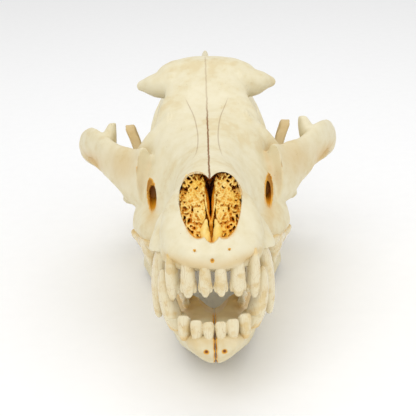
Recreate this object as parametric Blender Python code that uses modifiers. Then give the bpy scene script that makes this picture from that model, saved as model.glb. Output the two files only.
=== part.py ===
"""Wolf skull with its lower jaw, life size, resting on the lower jaw with the mouth slightly open.

X runs across the skull, +Y from the snout to the back of the head, +Z up.
The bones are laid out in millimetres in a skull frame: y = 0 at the front of the upper incisors,
z = 0 along the upper gum line. The last step turns the snout up, sets the jaw on z = 0, centres the box
and turns millimetres into metres.
"""
import math

import bmesh
import bpy
import numpy as np
from mathutils import Matrix, Vector

# Pose and scale
MM = 0.001
SNOUT_UP = math.radians(12.5)
MOUTH_OPEN = math.radians(4.0)
FOOT_DEPTH = 1.1
HINGE = Vector((0.0, 195.0, 8.0))

# How fine the bone surface is
VOXEL = 1.3
JAW_VOXEL = 1.0
SMOOTH_PASSES = 4
SIDES = 28
SLIM_SIDES = 14
STEPS = 4
CRANIUM_TRIANGLES = 4400
JAW_TRIANGLES = 1050
CROWN_SIDES = 6
FANG_SIDES = 10

# Gap left between two bones that meet
SEAM = 0.3
FANG_ROOM = 0.9

# Where the cranium is divided
FACE_BACK_Y = 134.0
CHEEK_LOW = Vector((37.5, 121.0, -10.0))
CHEEK_HIGH = Vector((90.0, 189.0, 62.0))
FAR = 320.0

# Openings and the jaw's roller and rear sheet
LOBE_X = 5.6
ROLLER = 4.5
ROLLER_PLAY = 0.35
SHEET_X = 35.5
SHEET_THICK = 5.0
JAW_TOP_BOW = 0.0045

# Cheek teeth: x, y of the crown's middle, length along the jaw, width across, crown height, turn in degrees
UPPER_CHEEK_TEETH = [
    (20.0, 46.0, 7.0, 4.5, 5.0, 0),
    (21.0, 58.0, 12.0, 5.5, 7.5, 0),
    (26.0, 73.0, 14.0, 6.0, 10.0, 14),
    (32.6, 93.0, 24.0, 10.0, 15.5, 18),
    (33.5, 112.0, 13.0, 18.0, 7.0, 8),
    (29.5, 123.0, 8.0, 11.0, 4.5, 5),
]
LOWER_CHEEK_TEETH = [
    (13.0, 40.0, 5.5, 4.0, 5.0, 0),
    (14.0, 51.0, 11.0, 5.0, 8.0, 8),
    (16.0, 64.0, 12.5, 5.5, 9.0, 10),
    (18.5, 79.0, 15.0, 6.5, 11.0, 10),
    (21.5, 99.0, 26.0, 8.5, 15.0, 9),
    (24.0, 118.0, 10.0, 7.5, 6.0, 10),
    (26.0, 127.0, 5.5, 5.0, 4.0, 10),
]
# Front teeth: x, y, width, depth, crown height, outward lean in degrees
UPPER_INCISORS = [
    (3.4, 4.2, 6.6, 6.0, 15.6, 4),
    (10.8, 6.5, 8.0, 7.0, 17.5, 12),
    (17.6, 12.0, 7.4, 9.0, 20.8, 24),
]
LOWER_INCISORS = [
    (2.7, 6.5, 5.2, 5.0, 8.5, 0),
    (7.9, 8.0, 5.9, 5.6, 9.0, 8),
    (13.4, 12.0, 6.2, 6.4, 10.0, 16),
]
UPPER_GUM = -1.0
LOWER_GUM = -14.0
LOWER_FRONT_GUM = -19.5
TIP_BACK = 2.5
LOWER_TIP_BACK = -2.0
# x, y at the gum, gum height, tip height, length, width, how far the tip moves back and out
UPPER_FANG = (22.5, 30.0, 0.0, -28.0, 14.0, 9.0, 3.0, 3.0)
LOWER_FANG = (18.6, 20.5, -13.0, 10.0, 11.0, 8.8, -3.5, 3.6)
# Height of the gum line over its middle level, at distances back from the front teeth
GUM_Y = (4.0, 6.5, 12.0, 20.0, 30.0, 40.0, 52.0)
GUM_RISE = (3.0, 4.5, 5.8, 5.8, 5.6, 3.5, 0.0)
GUM_FADE = 15.0

# Crown forms: part of the way from foot to tip, half width across, half length along
FRONT_TOOTH = [(-0.2, 0.30, 0.40), (0.0, 0.36, 0.46), (0.3, 0.43, 0.50), (0.75, 0.39, 0.30), (1.0, 0.14, 0.1)]
WORN_TOOTH = [(-0.35, 0.28, 0.36), (0.0, 0.38, 0.46), (0.4, 0.47, 0.44), (0.85, 0.46, 0.22), (1.0, 0.24, 0.1)]
CUSP = [(-0.5, 0.3, 0.35), (0.0, 0.46, 0.47), (0.35, 0.46, 0.47), (1.0, 0.06, 0.07)]
# Part of the way from gum to tip, share of full size
FANG = [(-0.3, 0.9), (0.0, 1.0), (0.25, 0.95), (0.5, 0.82), (0.75, 0.63), (0.93, 0.4), (1.0, 0.15)]

# Bone and enamel colours on a screen scale of 0 to 255, for each part
COLOURS = {
    "muzzle": (230, 219, 184),
    "braincase": (226, 214, 176),
    "zygomatic_arch_left": (227, 213, 174),
    "zygomatic_arch_right": (226, 212, 172),
    "mandible_left": (216, 203, 164),
    "mandible_right": (215, 202, 162),
}
ROUGHNESS = 0.5


def clear_scene():
    for old in list(bpy.data.objects):
        bpy.data.objects.remove(old, do_unlink=True)


def linear(red, green, blue):
    """A screen colour as a linear one."""
    return [((value / 255 + 0.055) / 1.055) ** 2.4 for value in (red, green, blue)]


def bone_material(name, colour):
    material = bpy.data.materials.new(name)
    material.use_nodes = True
    shader = material.node_tree.nodes["Principled BSDF"]
    shader.inputs["Base Color"].default_value = (*linear(*colour), 1.0)
    shader.inputs["Roughness"].default_value = ROUGHNESS
    shader.inputs["Metallic"].default_value = 0.0
    return material


def smooth_rows(rows, steps=STEPS):
    """Rows of sizes with rows on a smooth curve added in between."""
    rows = np.array(rows, float)
    padded = np.vstack([2 * rows[0] - rows[1], rows, 2 * rows[-1] - rows[-2]])
    out = []
    for i in range(1, len(padded) - 2):
        a, b, c, d = padded[i - 1 : i + 3]
        for k in range(steps):
            t = k / steps
            bend = (2 * a - 5 * b + 4 * c - d) * t**2 + (3 * b - a - 3 * c + d) * t**3
            out.append(0.5 * (2 * b + (c - a) * t + bend))
    out.append(rows[-1])
    return out


def skin(bm, places, sides=SIDES):
    """Rings joined into a closed skin. Each place turns a point of a unit circle into a point of the bone."""
    rings = []
    for place in places:
        ring = bmesh.ops.create_circle(bm, cap_ends=False, segments=sides, radius=1.0)["verts"]
        for vertex in ring:
            vertex.co = place(vertex.co.x, vertex.co.y)
        rings.append(list({edge for vertex in ring for edge in vertex.link_edges}))
    for ring, following in zip(rings, rings[1:]):
        bmesh.ops.bridge_loops(bm, edges=ring + following)
    bmesh.ops.edgeloop_fill(bm, edges=rings[0])
    bmesh.ops.edgeloop_fill(bm, edges=rings[-1])


def signed_power(value, power):
    return math.copysign(abs(value) ** power, value)


def section(y, low, high, wide_low, wide_high, power, x=0.0):
    def place(c, s):
        across, up = signed_power(c, 2 / power), signed_power(s, 2 / power)
        half = wide_low + (wide_high - wide_low) * (up + 1) / 2
        return Vector((x + half * across, y, (low + high) / 2 + (high - low) / 2 * up))

    return place


def trunk(bm, rows, x=0.0):
    """Rows of y, low, high, half width low, half width high, squareness."""
    skin(bm, [section(*row, x=x) for row in smooth_rows(rows)])


def bar(bm, rows):
    """Rows of x, y, z, half thickness, half height along an arch."""
    rows = smooth_rows(rows)
    places = []
    for i, row in enumerate(rows):
        along = rows[min(i + 1, len(rows) - 1)][:2] - rows[max(i - 1, 0)][:2]
        along = along / max(np.linalg.norm(along), 1e-6)
        side = Vector((along[1], -along[0], 0.0))
        centre = Vector(row[:3])
        wide, high = row[3:]
        places.append(lambda c, s, o=centre, n=side, w=wide, h=high: o + n * w * c + Vector((0, 0, h * s)))
    skin(bm, places, sides=SLIM_SIDES)


def column(bm, rows):
    """Rows of x, y, z, radius x, radius y with level rings."""
    places = []
    for x, y, z, wide, deep in smooth_rows(rows):
        places.append(lambda c, s, x=x, y=y, z=z, w=wide, d=deep: Vector((x + w * c, y + d * s, z)))
    skin(bm, places, sides=SLIM_SIDES)


def ball(bm, centre, radii):
    made = bmesh.ops.create_icosphere(bm, subdivisions=4, radius=1.0)["verts"]
    for vertex in made:
        vertex.co = Vector(centre) + Vector([r * v for r, v in zip(radii, vertex.co)])


def both_sides(bm, build):
    """Builds the left-hand pieces, then their mirror image."""
    half = bmesh.new()
    build(half)
    for sign in (1, -1):
        copy = half.copy()
        bmesh.ops.scale(copy, vec=(sign, 1, 1), verts=copy.verts)
        carrier = bpy.data.meshes.new("carrier")
        copy.to_mesh(carrier)
        bm.from_mesh(carrier)
        bpy.data.meshes.remove(carrier)
        copy.free()
    half.free()


def to_object(bm, name):
    """One mesh object from closed skins that may overlap."""
    bmesh.ops.triangulate(bm, faces=[face for face in bm.faces if len(face.verts) > 4])
    bmesh.ops.recalc_face_normals(bm, faces=bm.faces)
    mesh = bpy.data.meshes.new(name)
    bm.to_mesh(mesh)
    bm.free()
    obj = bpy.data.objects.new(name, mesh)
    bpy.context.scene.collection.objects.link(obj)
    return obj


def solid(name, build):
    bm = bmesh.new()
    build(bm)
    return to_object(bm, name)


def block(name, low, high):
    """A plain block between two corners."""
    bm = bmesh.new()
    bmesh.ops.create_cube(bm, size=1.0)
    low, high = Vector(low), Vector(high)
    for vertex in bm.verts:
        vertex.co = (low + high) / 2 + Vector([v * (b - a) for v, a, b in zip(vertex.co, low, high)])
    return to_object(bm, name)


def bake(obj):
    """Makes the modifiers' result the object's own mesh."""
    bpy.context.view_layer.update()
    result = bpy.data.meshes.new_from_object(obj.evaluated_get(bpy.context.evaluated_depsgraph_get()))
    obj.modifiers.clear()
    obj.data = result


def grow_together(obj, voxel):
    """Fuses overlapping skins into one bone surface and softens the joins."""
    fuse = obj.modifiers.new("fuse", "REMESH")
    fuse.mode = "VOXEL"
    fuse.voxel_size = voxel
    soften = obj.modifiers.new("soften", "SMOOTH")
    soften.factor = 0.5
    soften.iterations = SMOOTH_PASSES
    bake(obj)


def thin_out(obj, most):
    count = sum(len(face.vertices) - 2 for face in obj.data.polygons)
    fewer = obj.modifiers.new("fewer", "DECIMATE")
    fewer.ratio = min(1.0, most / count)
    bake(obj)


def combine(obj, others, operation):
    """One Boolean with a list of closed objects, which are removed after it."""
    group = bpy.data.collections.new("tools")
    bpy.context.scene.collection.children.link(group)
    for other in others:
        bpy.context.scene.collection.objects.unlink(other)
        group.objects.link(other)
    change = obj.modifiers.new(operation, "BOOLEAN")
    change.operation = operation
    change.solver = "MANIFOLD"
    if len(others) > 1:
        change.operand_type = "COLLECTION"
        change.collection = group
    else:
        change.object = others[0]
    bake(obj)
    for other in others:
        bpy.data.objects.remove(other, do_unlink=True)
    bpy.data.collections.remove(group)
    keep_largest(obj)


def keep_largest(obj):
    """Drops crumbs that a cut leaves, keeping the largest closed surface."""
    bm = bmesh.new()
    bm.from_mesh(obj.data)
    left = set(bm.verts)
    groups = []
    while left:
        todo = [left.pop()]
        group = []
        while todo:
            vertex = todo.pop()
            group.append(vertex)
            for edge in vertex.link_edges:
                other = edge.other_vert(vertex)
                if other in left:
                    left.discard(other)
                    todo.append(other)
        groups.append(group)
    groups.sort(key=len)
    for group in groups[:-1]:
        bmesh.ops.delete(bm, geom=group, context="VERTS")
    bmesh.ops.triangulate(bm, faces=[face for face in bm.faces if len(face.verts) > 3])
    bm.to_mesh(obj.data)
    bm.free()


def copy_of(obj, name):
    copy = obj.copy()
    copy.data = obj.data.copy()
    copy.name = name
    bpy.context.scene.collection.objects.link(copy)
    return copy


def mirror_mesh(mesh):
    mesh.transform(Matrix.Scale(-1, 4, Vector((1, 0, 0))))
    mesh.flip_normals()


# Cranium
def build_face(bm):
    trunk(
        bm,
        [
            (1.0, -2.0, 4.5, 9.0, 6.0, 2.6),
            (4.0, -2.5, 8.5, 15.0, 10.0, 2.6),
            (9.0, -2.5, 13.5, 20.0, 15.0, 2.6),
            (14.0, -2.5, 19.5, 23.0, 18.0, 2.6),
            (21.0, -2.5, 28.0, 25.0, 20.0, 2.6),
            (30.0, -2.5, 36.0, 26.0, 19.0, 2.6),
            (40.0, -2.0, 40.0, 24.5, 16.0, 2.6),
            (58.0, -1.0, 43.5, 23.5, 14.5, 2.6),
            (74.0, -1.0, 47.5, 28.0, 15.0, 2.4),
            (88.0, -1.0, 52.5, 36.0, 19.0, 2.4),
            (98.0, -1.0, 57.0, 40.0, 24.0, 2.4),
            (107.0, -1.0, 61.0, 41.0, 28.0, 2.6),
            (114.0, 0.0, 64.5, 38.5, 29.0, 2.6),
            (121.0, 3.0, 68.0, 32.0, 26.0, 2.4),
            (128.0, 8.0, 70.0, 24.0, 22.0, 2.4),
        ],
    )
    trunk(
        bm,
        [
            (2.2, -3.5, 8.0, 10.5, 8.0, 3.0),
            (6.0, -3.5, 12.0, 17.0, 13.0, 3.4),
            (12.0, -3.0, 14.0, 22.0, 18.0, 4.0),
            (20.0, -3.0, 14.0, 25.0, 20.0, 4.0),
            (31.0, -3.0, 14.0, 26.5, 21.0, 4.0),
            (44.0, -2.5, 14.0, 23.5, 20.0, 4.0),
            (60.0, -2.0, 14.0, 24.0, 21.0, 4.0),
            (76.0, -2.0, 15.0, 30.5, 25.5, 4.0),
            (84.0, -3.0, 16.0, 36.5, 30.5, 3.4),
            (92.0, -3.5, 18.0, 40.5, 35.0, 3.2),
            (106.0, -3.5, 21.0, 42.5, 39.0, 3.2),
            (118.0, -3.0, 18.0, 38.5, 35.0, 3.2),
            (130.0, 0.0, 16.0, 31.0, 26.0, 3.4),
            (135.0, 5.0, 14.0, 25.0, 20.0, 3.0),
        ],
    )
    trunk(
        bm,
        [
            (104.0, 12.0, 56.0, 22.0, 20.0, 2.4),
            (124.0, 3.0, 68.0, 18.0, 21.0, 2.4),
            (140.0, 0.0, 76.0, 15.0, 20.0, 2.4),
            (156.0, 4.0, 78.0, 14.0, 20.0, 2.4),
            (176.0, 10.0, 80.0, 20.0, 19.0, 2.2),
            (196.0, 14.0, 80.0, 28.0, 22.0, 2.2),
        ],
    )
    trunk(
        bm,
        [
            (109.0, 38.0, 61.0, 34.0, 21.0, 2.8),
            (121.0, 48.0, 69.5, 30.5, 23.5, 2.8),
            (132.0, 56.0, 78.0, 24.0, 22.5, 2.4),
            (140.0, 60.0, 84.0, 20.5, 25.0, 2.2),
            (147.0, 64.0, 89.3, 20.0, 33.0, 2.05),
            (154.0, 66.0, 91.2, 18.0, 34.0, 2.05),
            (162.0, 66.0, 92.0, 17.0, 27.0, 2.1),
            (174.0, 60.0, 91.0, 18.0, 15.0, 2.0),
            (190.0, 60.0, 88.0, 22.0, 8.0, 2.0),
        ],
    )


def build_cheek(bm):
    bar(
        bm,
        [
            (20.0, 114.0, 56.0, 5.0, 7.0),
            (31.0, 115.0, 43.5, 5.0, 7.5),
            (38.5, 118.0, 35.0, 4.5, 7.0),
            (47.0, 124.0, 34.0, 4.5, 7.0),
        ],
    )
    bar(
        bm,
        [
            (33.0, 100.0, 30.0, 6.0, 16.0),
            (40.5, 112.0, 29.0, 6.5, 15.0),
            (48.5, 124.0, 33.5, 5.5, 12.0),
            (57.0, 136.0, 39.0, 4.5, 11.2),
            (64.5, 148.0, 43.0, 4.2, 11.0),
            (69.5, 162.0, 43.0, 4.0, 9.0),
            (71.3, 176.0, 40.0, 3.8, 7.5),
            (69.0, 188.0, 35.0, 3.8, 7.0),
            (61.0, 199.0, 30.0, 4.5, 7.0),
            (47.0, 206.0, 27.0, 6.0, 7.0),
            (28.0, 210.0, 27.0, 8.0, 8.0),
        ],
    )
    bar(
        bm,
        [
            (18.0, 150.0, 76.4, 13.0, 9.0),
            (28.0, 151.0, 76.2, 9.5, 7.0),
            (34.0, 152.5, 76.2, 5.5, 4.2),
            (38.4, 154.0, 75.8, 2.5, 2.2),
        ],
    )
    column(bm, [(57.5, 141.0, 40.0, 5.5, 7.0), (55.0, 142.0, 49.0, 4.2, 5.5), (52.8, 143.5, 56.5, 2.0, 2.6)])
    trunk(
        bm,
        [
            (184, 20, 30, 9, 8, 2.4),
            (190, 16, 32, 13, 12, 2.4),
            (203, 6, 32, 13, 12, 2.4),
            (209, 12, 30, 10, 8, 2.4),
        ],
        x=43.0,
    )
    column(bm, [(17.5, 46.0, 22.0, 4.0, 6.0), (20.4, 38.0, 12.0, 6.2, 8.4), (22.2, 31.0, -1.5, 6.9, 9.0)])


def build_back(bm):
    ball(bm, (0, 208, 50), (31.5, 54, 33.5))
    trunk(
        bm,
        [
            (158, 70, 88.0, 8.0, 4.0, 2.0),
            (176, 60, 91.0, 9.0, 2.4, 2.0),
            (205, 60, 93.0, 9.0, 2.4, 2.0),
            (235, 60, 95.0, 9.0, 2.4, 2.0),
            (258, 60, 92.5, 9.0, 2.4, 2.0),
            (268, 66, 88.0, 7.0, 2.4, 2.0),
        ],
    )
    trunk(
        bm,
        [
            (218, 10, 79, 34, 22, 2.6),
            (234, 10, 81, 36, 26, 2.6),
            (246, 12, 83, 33, 24, 2.6),
            (256, 26, 84, 26, 18, 2.6),
            (264, 60, 85, 14, 11, 2.4),
        ],
    )
    trunk(
        bm,
        [
            (128, 4, 24, 15, 16, 2.6),
            (148, 4, 26, 12, 16, 2.6),
            (172, 8, 30, 11, 18, 2.6),
            (205, 8, 32, 16, 24, 2.6),
            (232, 10, 34, 15, 22, 2.6),
            (246, 13, 34, 13, 14, 2.6),
        ],
    )


def build_back_side(bm):
    bar(
        bm,
        [
            (0.0, 265.5, 83.0, 3.5, 6.0),
            (13.0, 262.0, 78.0, 3.5, 6.5),
            (22.5, 253.5, 67.0, 4.5, 9.0),
            (31.0, 243.0, 50.0, 4.5, 10.0),
            (34.5, 231.0, 35.0, 5.0, 9.0),
        ],
    )
    ball(bm, (20.5, 209, 7), (11, 15, 13))
    ball(bm, (12.5, 249, 18), (7.5, 9, 9))
    column(bm, [(25.0, 229.0, 26.0, 7.0, 6.0), (26.0, 232.0, 8.0, 5.0, 4.0), (26.0, 233.0, -3.0, 2.0, 2.0)])
    trunk(
        bm,
        [
            (132, -1, 22, 2.2, 3.0, 2.2),
            (160, -3, 22, 1.8, 3.0, 2.2),
            (176, 0, 22, 1.6, 3.0, 2.2),
            (184, 8, 22, 1.6, 3.0, 2.2),
        ],
        x=11.0,
    )


# Openings of the cranium
def nose_opening(bm):
    """Left half. The two halves overlap and leave a small point at the top and a rise at the bottom."""
    rows = [
        (-2.0, 12.0, 37.0, 5.4, 8.8, 2.15),
        (20.0, 12.0, 37.8, 6.4, 9.8, 2.15),
        (38.0, 12.0, 38.2, 7.0, 8.6, 2.15),
        (50.0, 14.0, 36.0, 5.0, 5.0, 2.15),
    ]
    trunk(bm, rows, x=LOBE_X)


def right_nose_opening(bm):
    nose_opening(bm)
    bmesh.ops.scale(bm, vec=(-1, 1, 1), verts=bm.verts)


def nose_floor(bm):
    """The middle of the opening, which comes to a point at the bottom."""
    rows = [
        (-2.0, 9.6, 34.0, 4.0, 9.0, 1.9),
        (24.0, 10.2, 34.0, 5.0, 9.0, 1.9),
        (46.0, 12.0, 33.0, 4.0, 7.0, 1.9),
    ]
    trunk(bm, rows)


def nerve_hole(bm):
    bar(bm, [(30.6, 70.0, 15.0, 1.7, 4.4), (30.0, 86.0, 19.5, 2.1, 6.4), (29.4, 100.0, 23.0, 1.4, 4.0)])


def neck_hole(bm):
    trunk(bm, [(238, 17, 35, 8, 8, 2.0), (275, 15, 37, 10, 10, 2.0)])


def roller_room(bm):
    reach = ROLLER + SEAM + ROLLER_PLAY
    skin(bm, [lambda c, s, x=x: Vector((x, HINGE.y + reach * c, HINGE.z + reach * s)) for x in (28.0, 57.0)])


def scroll(bm):
    """Rounded scroll inside the nose, grown into its wall by a ledge, with a pointed plate at the front."""
    trunk(bm, [(24, 19, 30, 2.5, 2.5, 2.0), (34, 17, 34, 4.2, 4.2, 2.0), (60, 17, 34, 4.5, 4.5, 2.0)], x=7.2)


def ledge(bm):
    trunk(bm, [(32, 22, 28, 3.5, 3.5, 2.0), (60, 22, 28, 3.5, 3.5, 2.0)], x=12.5)


def nub(bm):
    column(bm, [(2.6, 14.0, 10.0, 2.6, 5.0), (2.4, 14.5, 15.0, 2.0, 4.0), (2.2, 16.0, 19.0, 0.8, 2.5)])


def keel(bm):
    trunk(bm, [(20, 10, 20, 2.6, 1.2, 2.4), (34, 10, 23, 2.6, 1.0, 2.4), (60, 10, 26, 2.6, 1.0, 2.4)])


def mirrored(build):
    """The same form on the other side."""

    def build_mirrored(bm):
        build(bm)
        bmesh.ops.scale(bm, vec=(-1, 1, 1), verts=bm.verts)

    return build_mirrored


def nose_inside():
    return [keel, scroll, mirrored(scroll), ledge, mirrored(ledge), nub, mirrored(nub)]


# Teeth
def gum_rise(y):
    """The gum line climbs from the middle front teeth to the fang and comes down behind it."""
    return np.interp(y, GUM_Y, GUM_RISE)


def crown(foot, tip, rows, turn):
    """A column from foot to tip, as a function that builds it."""
    spin = Matrix.Rotation(turn, 3, "Z")
    foot, tip = Vector(foot), Vector(tip)

    def build(bm):
        places = []
        for part, across, along in rows:
            centre = foot.lerp(tip, part)
            places.append(lambda c, s, o=centre, a=across, l=along: o + spin @ Vector((a * c, l * s, 0)))
        skin(bm, places, sides=CROWN_SIDES)

    return build


def front_tooth(row, gum, direction, back, profile):
    x, y, width, depth, height, lean = row
    foot = Vector((x, y, gum))
    tip = foot + Vector((0.0, back, direction * height))
    rows = [(part, across * width, along * depth) for part, across, along in profile]
    return crown(foot, tip, rows, math.radians(lean))


def cheek_tooth(row, gum, direction):
    """A main point, with lower ones before and behind it on long teeth, inside it on broad ones."""
    x, y, length, width, height, turn = row
    swing = math.radians(turn)
    along = Vector((math.sin(swing), math.cos(swing), 0))
    across = Vector((math.cos(swing), -math.sin(swing), 0))
    points = [(0.0, 0.0, 1.0, 0.9)]
    if length > 11:
        points = [(-0.08, 0.0, 1.0, 0.66), (-0.34, 0.0, 0.5, 0.36), (0.30, 0.0, 0.62, 0.44)]
    if width > 10:
        points = [(-0.22, 0.22, 1.0, 0.55), (0.25, 0.22, 0.85, 0.5), (0.0, -0.25, 0.6, 0.6)]
    made = []
    for forward, sideways, tall, share in points:
        foot = Vector((x, y, gum)) + along * forward * length + across * sideways * width
        rows = [(p, a * width * (0.62 if width > 10 else 1.0), l * length * share * 1.2) for p, a, l in CUSP]
        made.append(crown(foot, foot + Vector((0, 0, direction * height * tall)), rows, -swing))
    return made


def fang(x, y, gum, tip, length, width, back, out, room=0.0):
    """A long fang whose tip moves back and out, as a function that builds it."""

    def build(bm):
        places = []
        for part, size in FANG:
            bow = max(part, 0.0) ** 1.6
            centre = Vector((x + out * part * (2 - part), y + back * bow, gum + (tip + room - gum) * part))
            wide, deep = width / 2 * size + room, length / 2 * size + room
            places.append(lambda c, s, o=centre, w=wide, d=deep: o + Vector((w * c, d * s, 0)))
        skin(bm, places, sides=FANG_SIDES)

    return build


def upper_teeth():
    made = [fang(*UPPER_FANG)]
    for row in UPPER_CHEEK_TEETH:
        made += cheek_tooth(row, 0.0, -1)
    for row in UPPER_INCISORS:
        made.append(front_tooth(row, UPPER_GUM + gum_rise(row[1]), -1, TIP_BACK, FRONT_TOOTH))
    return made


def lower_teeth():
    made = [fang(*LOWER_FANG)]
    for row in LOWER_CHEEK_TEETH:
        made += cheek_tooth(row, LOWER_GUM, 1)
    for row in LOWER_INCISORS:
        made.append(front_tooth(row, LOWER_FRONT_GUM, 1, LOWER_TIP_BACK, WORN_TOOTH))
    return made


# Lower jaw
def outline_points(corners, steps=3):
    """Points on a smooth closed curve through the corners."""
    corners = [Vector(c) for c in corners]
    count = len(corners)
    out = []
    for i in range(count):
        a, b, c, d = (corners[(i + k) % count] for k in (-1, 0, 1, 2))
        for k in range(steps):
            t = k / steps
            bend = (2 * a - 5 * b + 4 * c - d) * t**2 + (3 * b - a - 3 * c + d) * t**3
            out.append(0.5 * (2 * b + (c - a) * t + bend))
    return out


def sheet_shift(y, z):
    """The sheet follows the tooth row inward towards the front, and its tip curls out."""
    return -0.28 * max(165.0 - y, 0.0) + JAW_TOP_BOW * max(z - 15.0, 0.0) ** 2


def build_sheet(bm):
    corners = [
        (134, -26), (140, -4), (147, 16), (155, 36), (164, 50), (172, 55), (179, 52), (181, 38),
        (182, 24), (187, 12), (192, 2), (190, -8), (194, -16), (201, -22), (198, -29), (186, -31),
        (168, -28), (148, -30),
    ]
    curve = outline_points(corners)
    ring = bmesh.ops.create_circle(bm, segments=len(curve), radius=1.0)["verts"]
    for vertex, (y, z) in zip(ring, curve):
        vertex.co = Vector((SHEET_X, y, z))
    edges = list({edge for vertex in ring for edge in vertex.link_edges})
    face = bmesh.ops.edgeloop_fill(bm, edges=edges)["faces"]
    bmesh.ops.triangulate(bm, faces=face)
    bmesh.ops.subdivide_edges(bm, edges=bm.edges[:], cuts=1, use_grid_fill=True)
    raised = bmesh.ops.extrude_face_region(bm, geom=bm.faces[:])["geom"]
    top = [v for v in raised if isinstance(v, bmesh.types.BMVert)]
    bmesh.ops.translate(bm, vec=(SHEET_THICK, 0, 0), verts=top)
    for vertex in bm.verts:
        vertex.co.x += sheet_shift(vertex.co.y, vertex.co.z)


def build_jaw_bones(bm):
    """Left half: body, rear sheet, hinge roller with its neck, swelling over the fang's root, rear hook."""
    build_sheet(bm)
    body = [
        (4.5, -26.0, -19.0, 7.0, 11.0, 2.2, 0.0),
        (9.0, -30.0, -17.0, 7.5, 15.0, 2.1, 0.3),
        (15.0, -33.5, -15.5, 7.5, 17.5, 2.0, 0.5),
        (23.0, -36.5, -15.0, 8.0, 19.0, 2.0, 1.0),
        (34.0, -39.5, -15.0, 8.0, 18.0, 2.1, 2.5),
        (46.0, -41.0, -14.5, 8.0, 11.5, 2.4, 7.0),
        (60.0, -41.5, -13.5, 5.6, 5.2, 2.4, 14.3),
        (80.0, -42.0, -13.5, 5.4, 5.0, 2.4, 17.5),
        (100.0, -42.5, -13.0, 5.6, 5.2, 2.4, 20.8),
        (120.0, -41.0, -12.0, 5.4, 5.2, 2.4, 24.0),
        (136.0, -36.0, -8.0, 4.8, 4.6, 2.4, 27.0),
        (152.0, -31.0, 0.0, 4.0, 3.6, 2.4, 30.0),
        (166.0, -28.5, 6.0, 3.6, 3.2, 2.4, 33.5),
    ]
    skin(bm, [section(*row[:6], x=row[6]) for row in smooth_rows(body)])
    roller = [(32.0, 2.0), (34.0, 4.0), (40.0, ROLLER), (47.5, ROLLER), (51.0, 3.6), (53.0, 1.8)]
    places = [lambda c, s, x=x, r=r: Vector((x, HINGE.y + r * c, HINGE.z + r * s)) for x, r in roller]
    skin(bm, places, sides=SLIM_SIDES)
    column(bm, [(7.0, 25.0, -30.0, 2.4, 4.0), (13.0, 23.3, -22.0, 4.7, 6.8), (18.0, 20.9, -12.4, 5.2, 6.7)])
    bar(bm, [(39.5, 176.0, 2.0, 3.5, 10.0), (40.0, 186.0, 6.0, 3.5, 7.0), (41.0, 194.0, 8.0, 4.0, 4.0)])
    bar(bm, [(36.0, 172.0, -22.0, 3.5, 7.0), (38.5, 188.0, -24.5, 3.5, 7.0), (39.0, 200.0, -23.0, 2.8, 4.5)])


def dish(bm):
    """The shallow hollow on the outer face of the rear sheet."""
    ball(bm, (48.5, 166, 4), (8.5, 17, 24))


def spout(bm):
    """The trough between the halves, behind the chin."""
    ball(bm, (0, 56, -5), (10.5, 36, 14.5))


# Assembly
def lift_gum(obj):
    for vertex in obj.data.vertices:
        fade = min(max(vertex.co.z / GUM_FADE, 0.0), 1.0)
        vertex.co.z += gum_rise(vertex.co.y) * (1 - fade * fade * (3 - 2 * fade))


def build_cranium():
    bm = bmesh.new()
    build_face(bm)
    both_sides(bm, build_cheek)
    build_back(bm)
    both_sides(bm, build_back_side)
    cranium = to_object(bm, "braincase")
    grow_together(cranium, VOXEL)
    openings = [nose_opening, right_nose_opening, nose_floor, neck_hole]
    openings += [nerve_hole, mirrored(nerve_hole), roller_room, mirrored(roller_room)]
    for opening in openings:
        combine(cranium, [solid("opening", opening)], "DIFFERENCE")
    thin_out(cranium, CRANIUM_TRIANGLES)
    lift_gum(cranium)
    return cranium


def fang_rooms():
    """Room in the snout for the lower fangs, which stand between the upper fang and the last incisor."""
    rooms = []
    roomy = fang(*LOWER_FANG, room=FANG_ROOM)
    for build in (roomy, mirrored(roomy)):
        room = solid("fang_room", build)
        swing_jaw(room)
        rooms.append(room)
    return rooms


def swing_jaw(obj):
    """Opens the mouth about the hinge."""
    there = Matrix.Translation(HINGE)
    obj.data.transform(there @ Matrix.Rotation(MOUTH_OPEN, 4, "X") @ there.inverted())


def build_jaw():
    jaw = solid("mandible_left", build_jaw_bones)
    grow_together(jaw, JAW_VOXEL)
    combine(jaw, [solid("dish", dish)], "DIFFERENCE")
    combine(jaw, [solid("spout", spout)], "DIFFERENCE")
    thin_out(jaw, JAW_TRIANGLES)
    combine(jaw, [solid("tooth", build) for build in lower_teeth()], "UNION")
    combine(jaw, [block("left_half", (SEAM / 2, -FAR, -FAR), (FAR, FAR, FAR))], "INTERSECT")
    swing_jaw(jaw)
    return jaw


def divide_cranium(cranium):
    """Face, braincase and the left cheek arch, with a thin gap where they meet."""
    arch = copy_of(cranium, "zygomatic_arch_left")
    combine(arch, [block("arch_room", CHEEK_LOW, CHEEK_HIGH)], "INTERSECT")
    gap = Vector((SEAM, SEAM, SEAM))
    low, high = CHEEK_LOW - gap, CHEEK_HIGH + gap
    combine(cranium, [block("room", low, high)], "DIFFERENCE")
    combine(cranium, [block("room", (-high.x, low.y, low.z), (-low.x, high.y, high.z))], "DIFFERENCE")
    muzzle = copy_of(cranium, "muzzle")
    combine(muzzle, [block("front", (-FAR, -FAR, -FAR), (FAR, FACE_BACK_Y, FAR))], "INTERSECT")
    combine(cranium, [block("rear", (-FAR, FACE_BACK_Y + SEAM, -FAR), (FAR, FAR, FAR))], "INTERSECT")
    return muzzle, cranium, arch


def build_muzzle(muzzle):
    teeth = upper_teeth()
    pieces = teeth + [mirrored(build) for build in teeth] + nose_inside()
    combine(muzzle, [solid("piece", build) for build in pieces], "UNION")
    for room in fang_rooms():
        combine(muzzle, [room], "DIFFERENCE")


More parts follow.
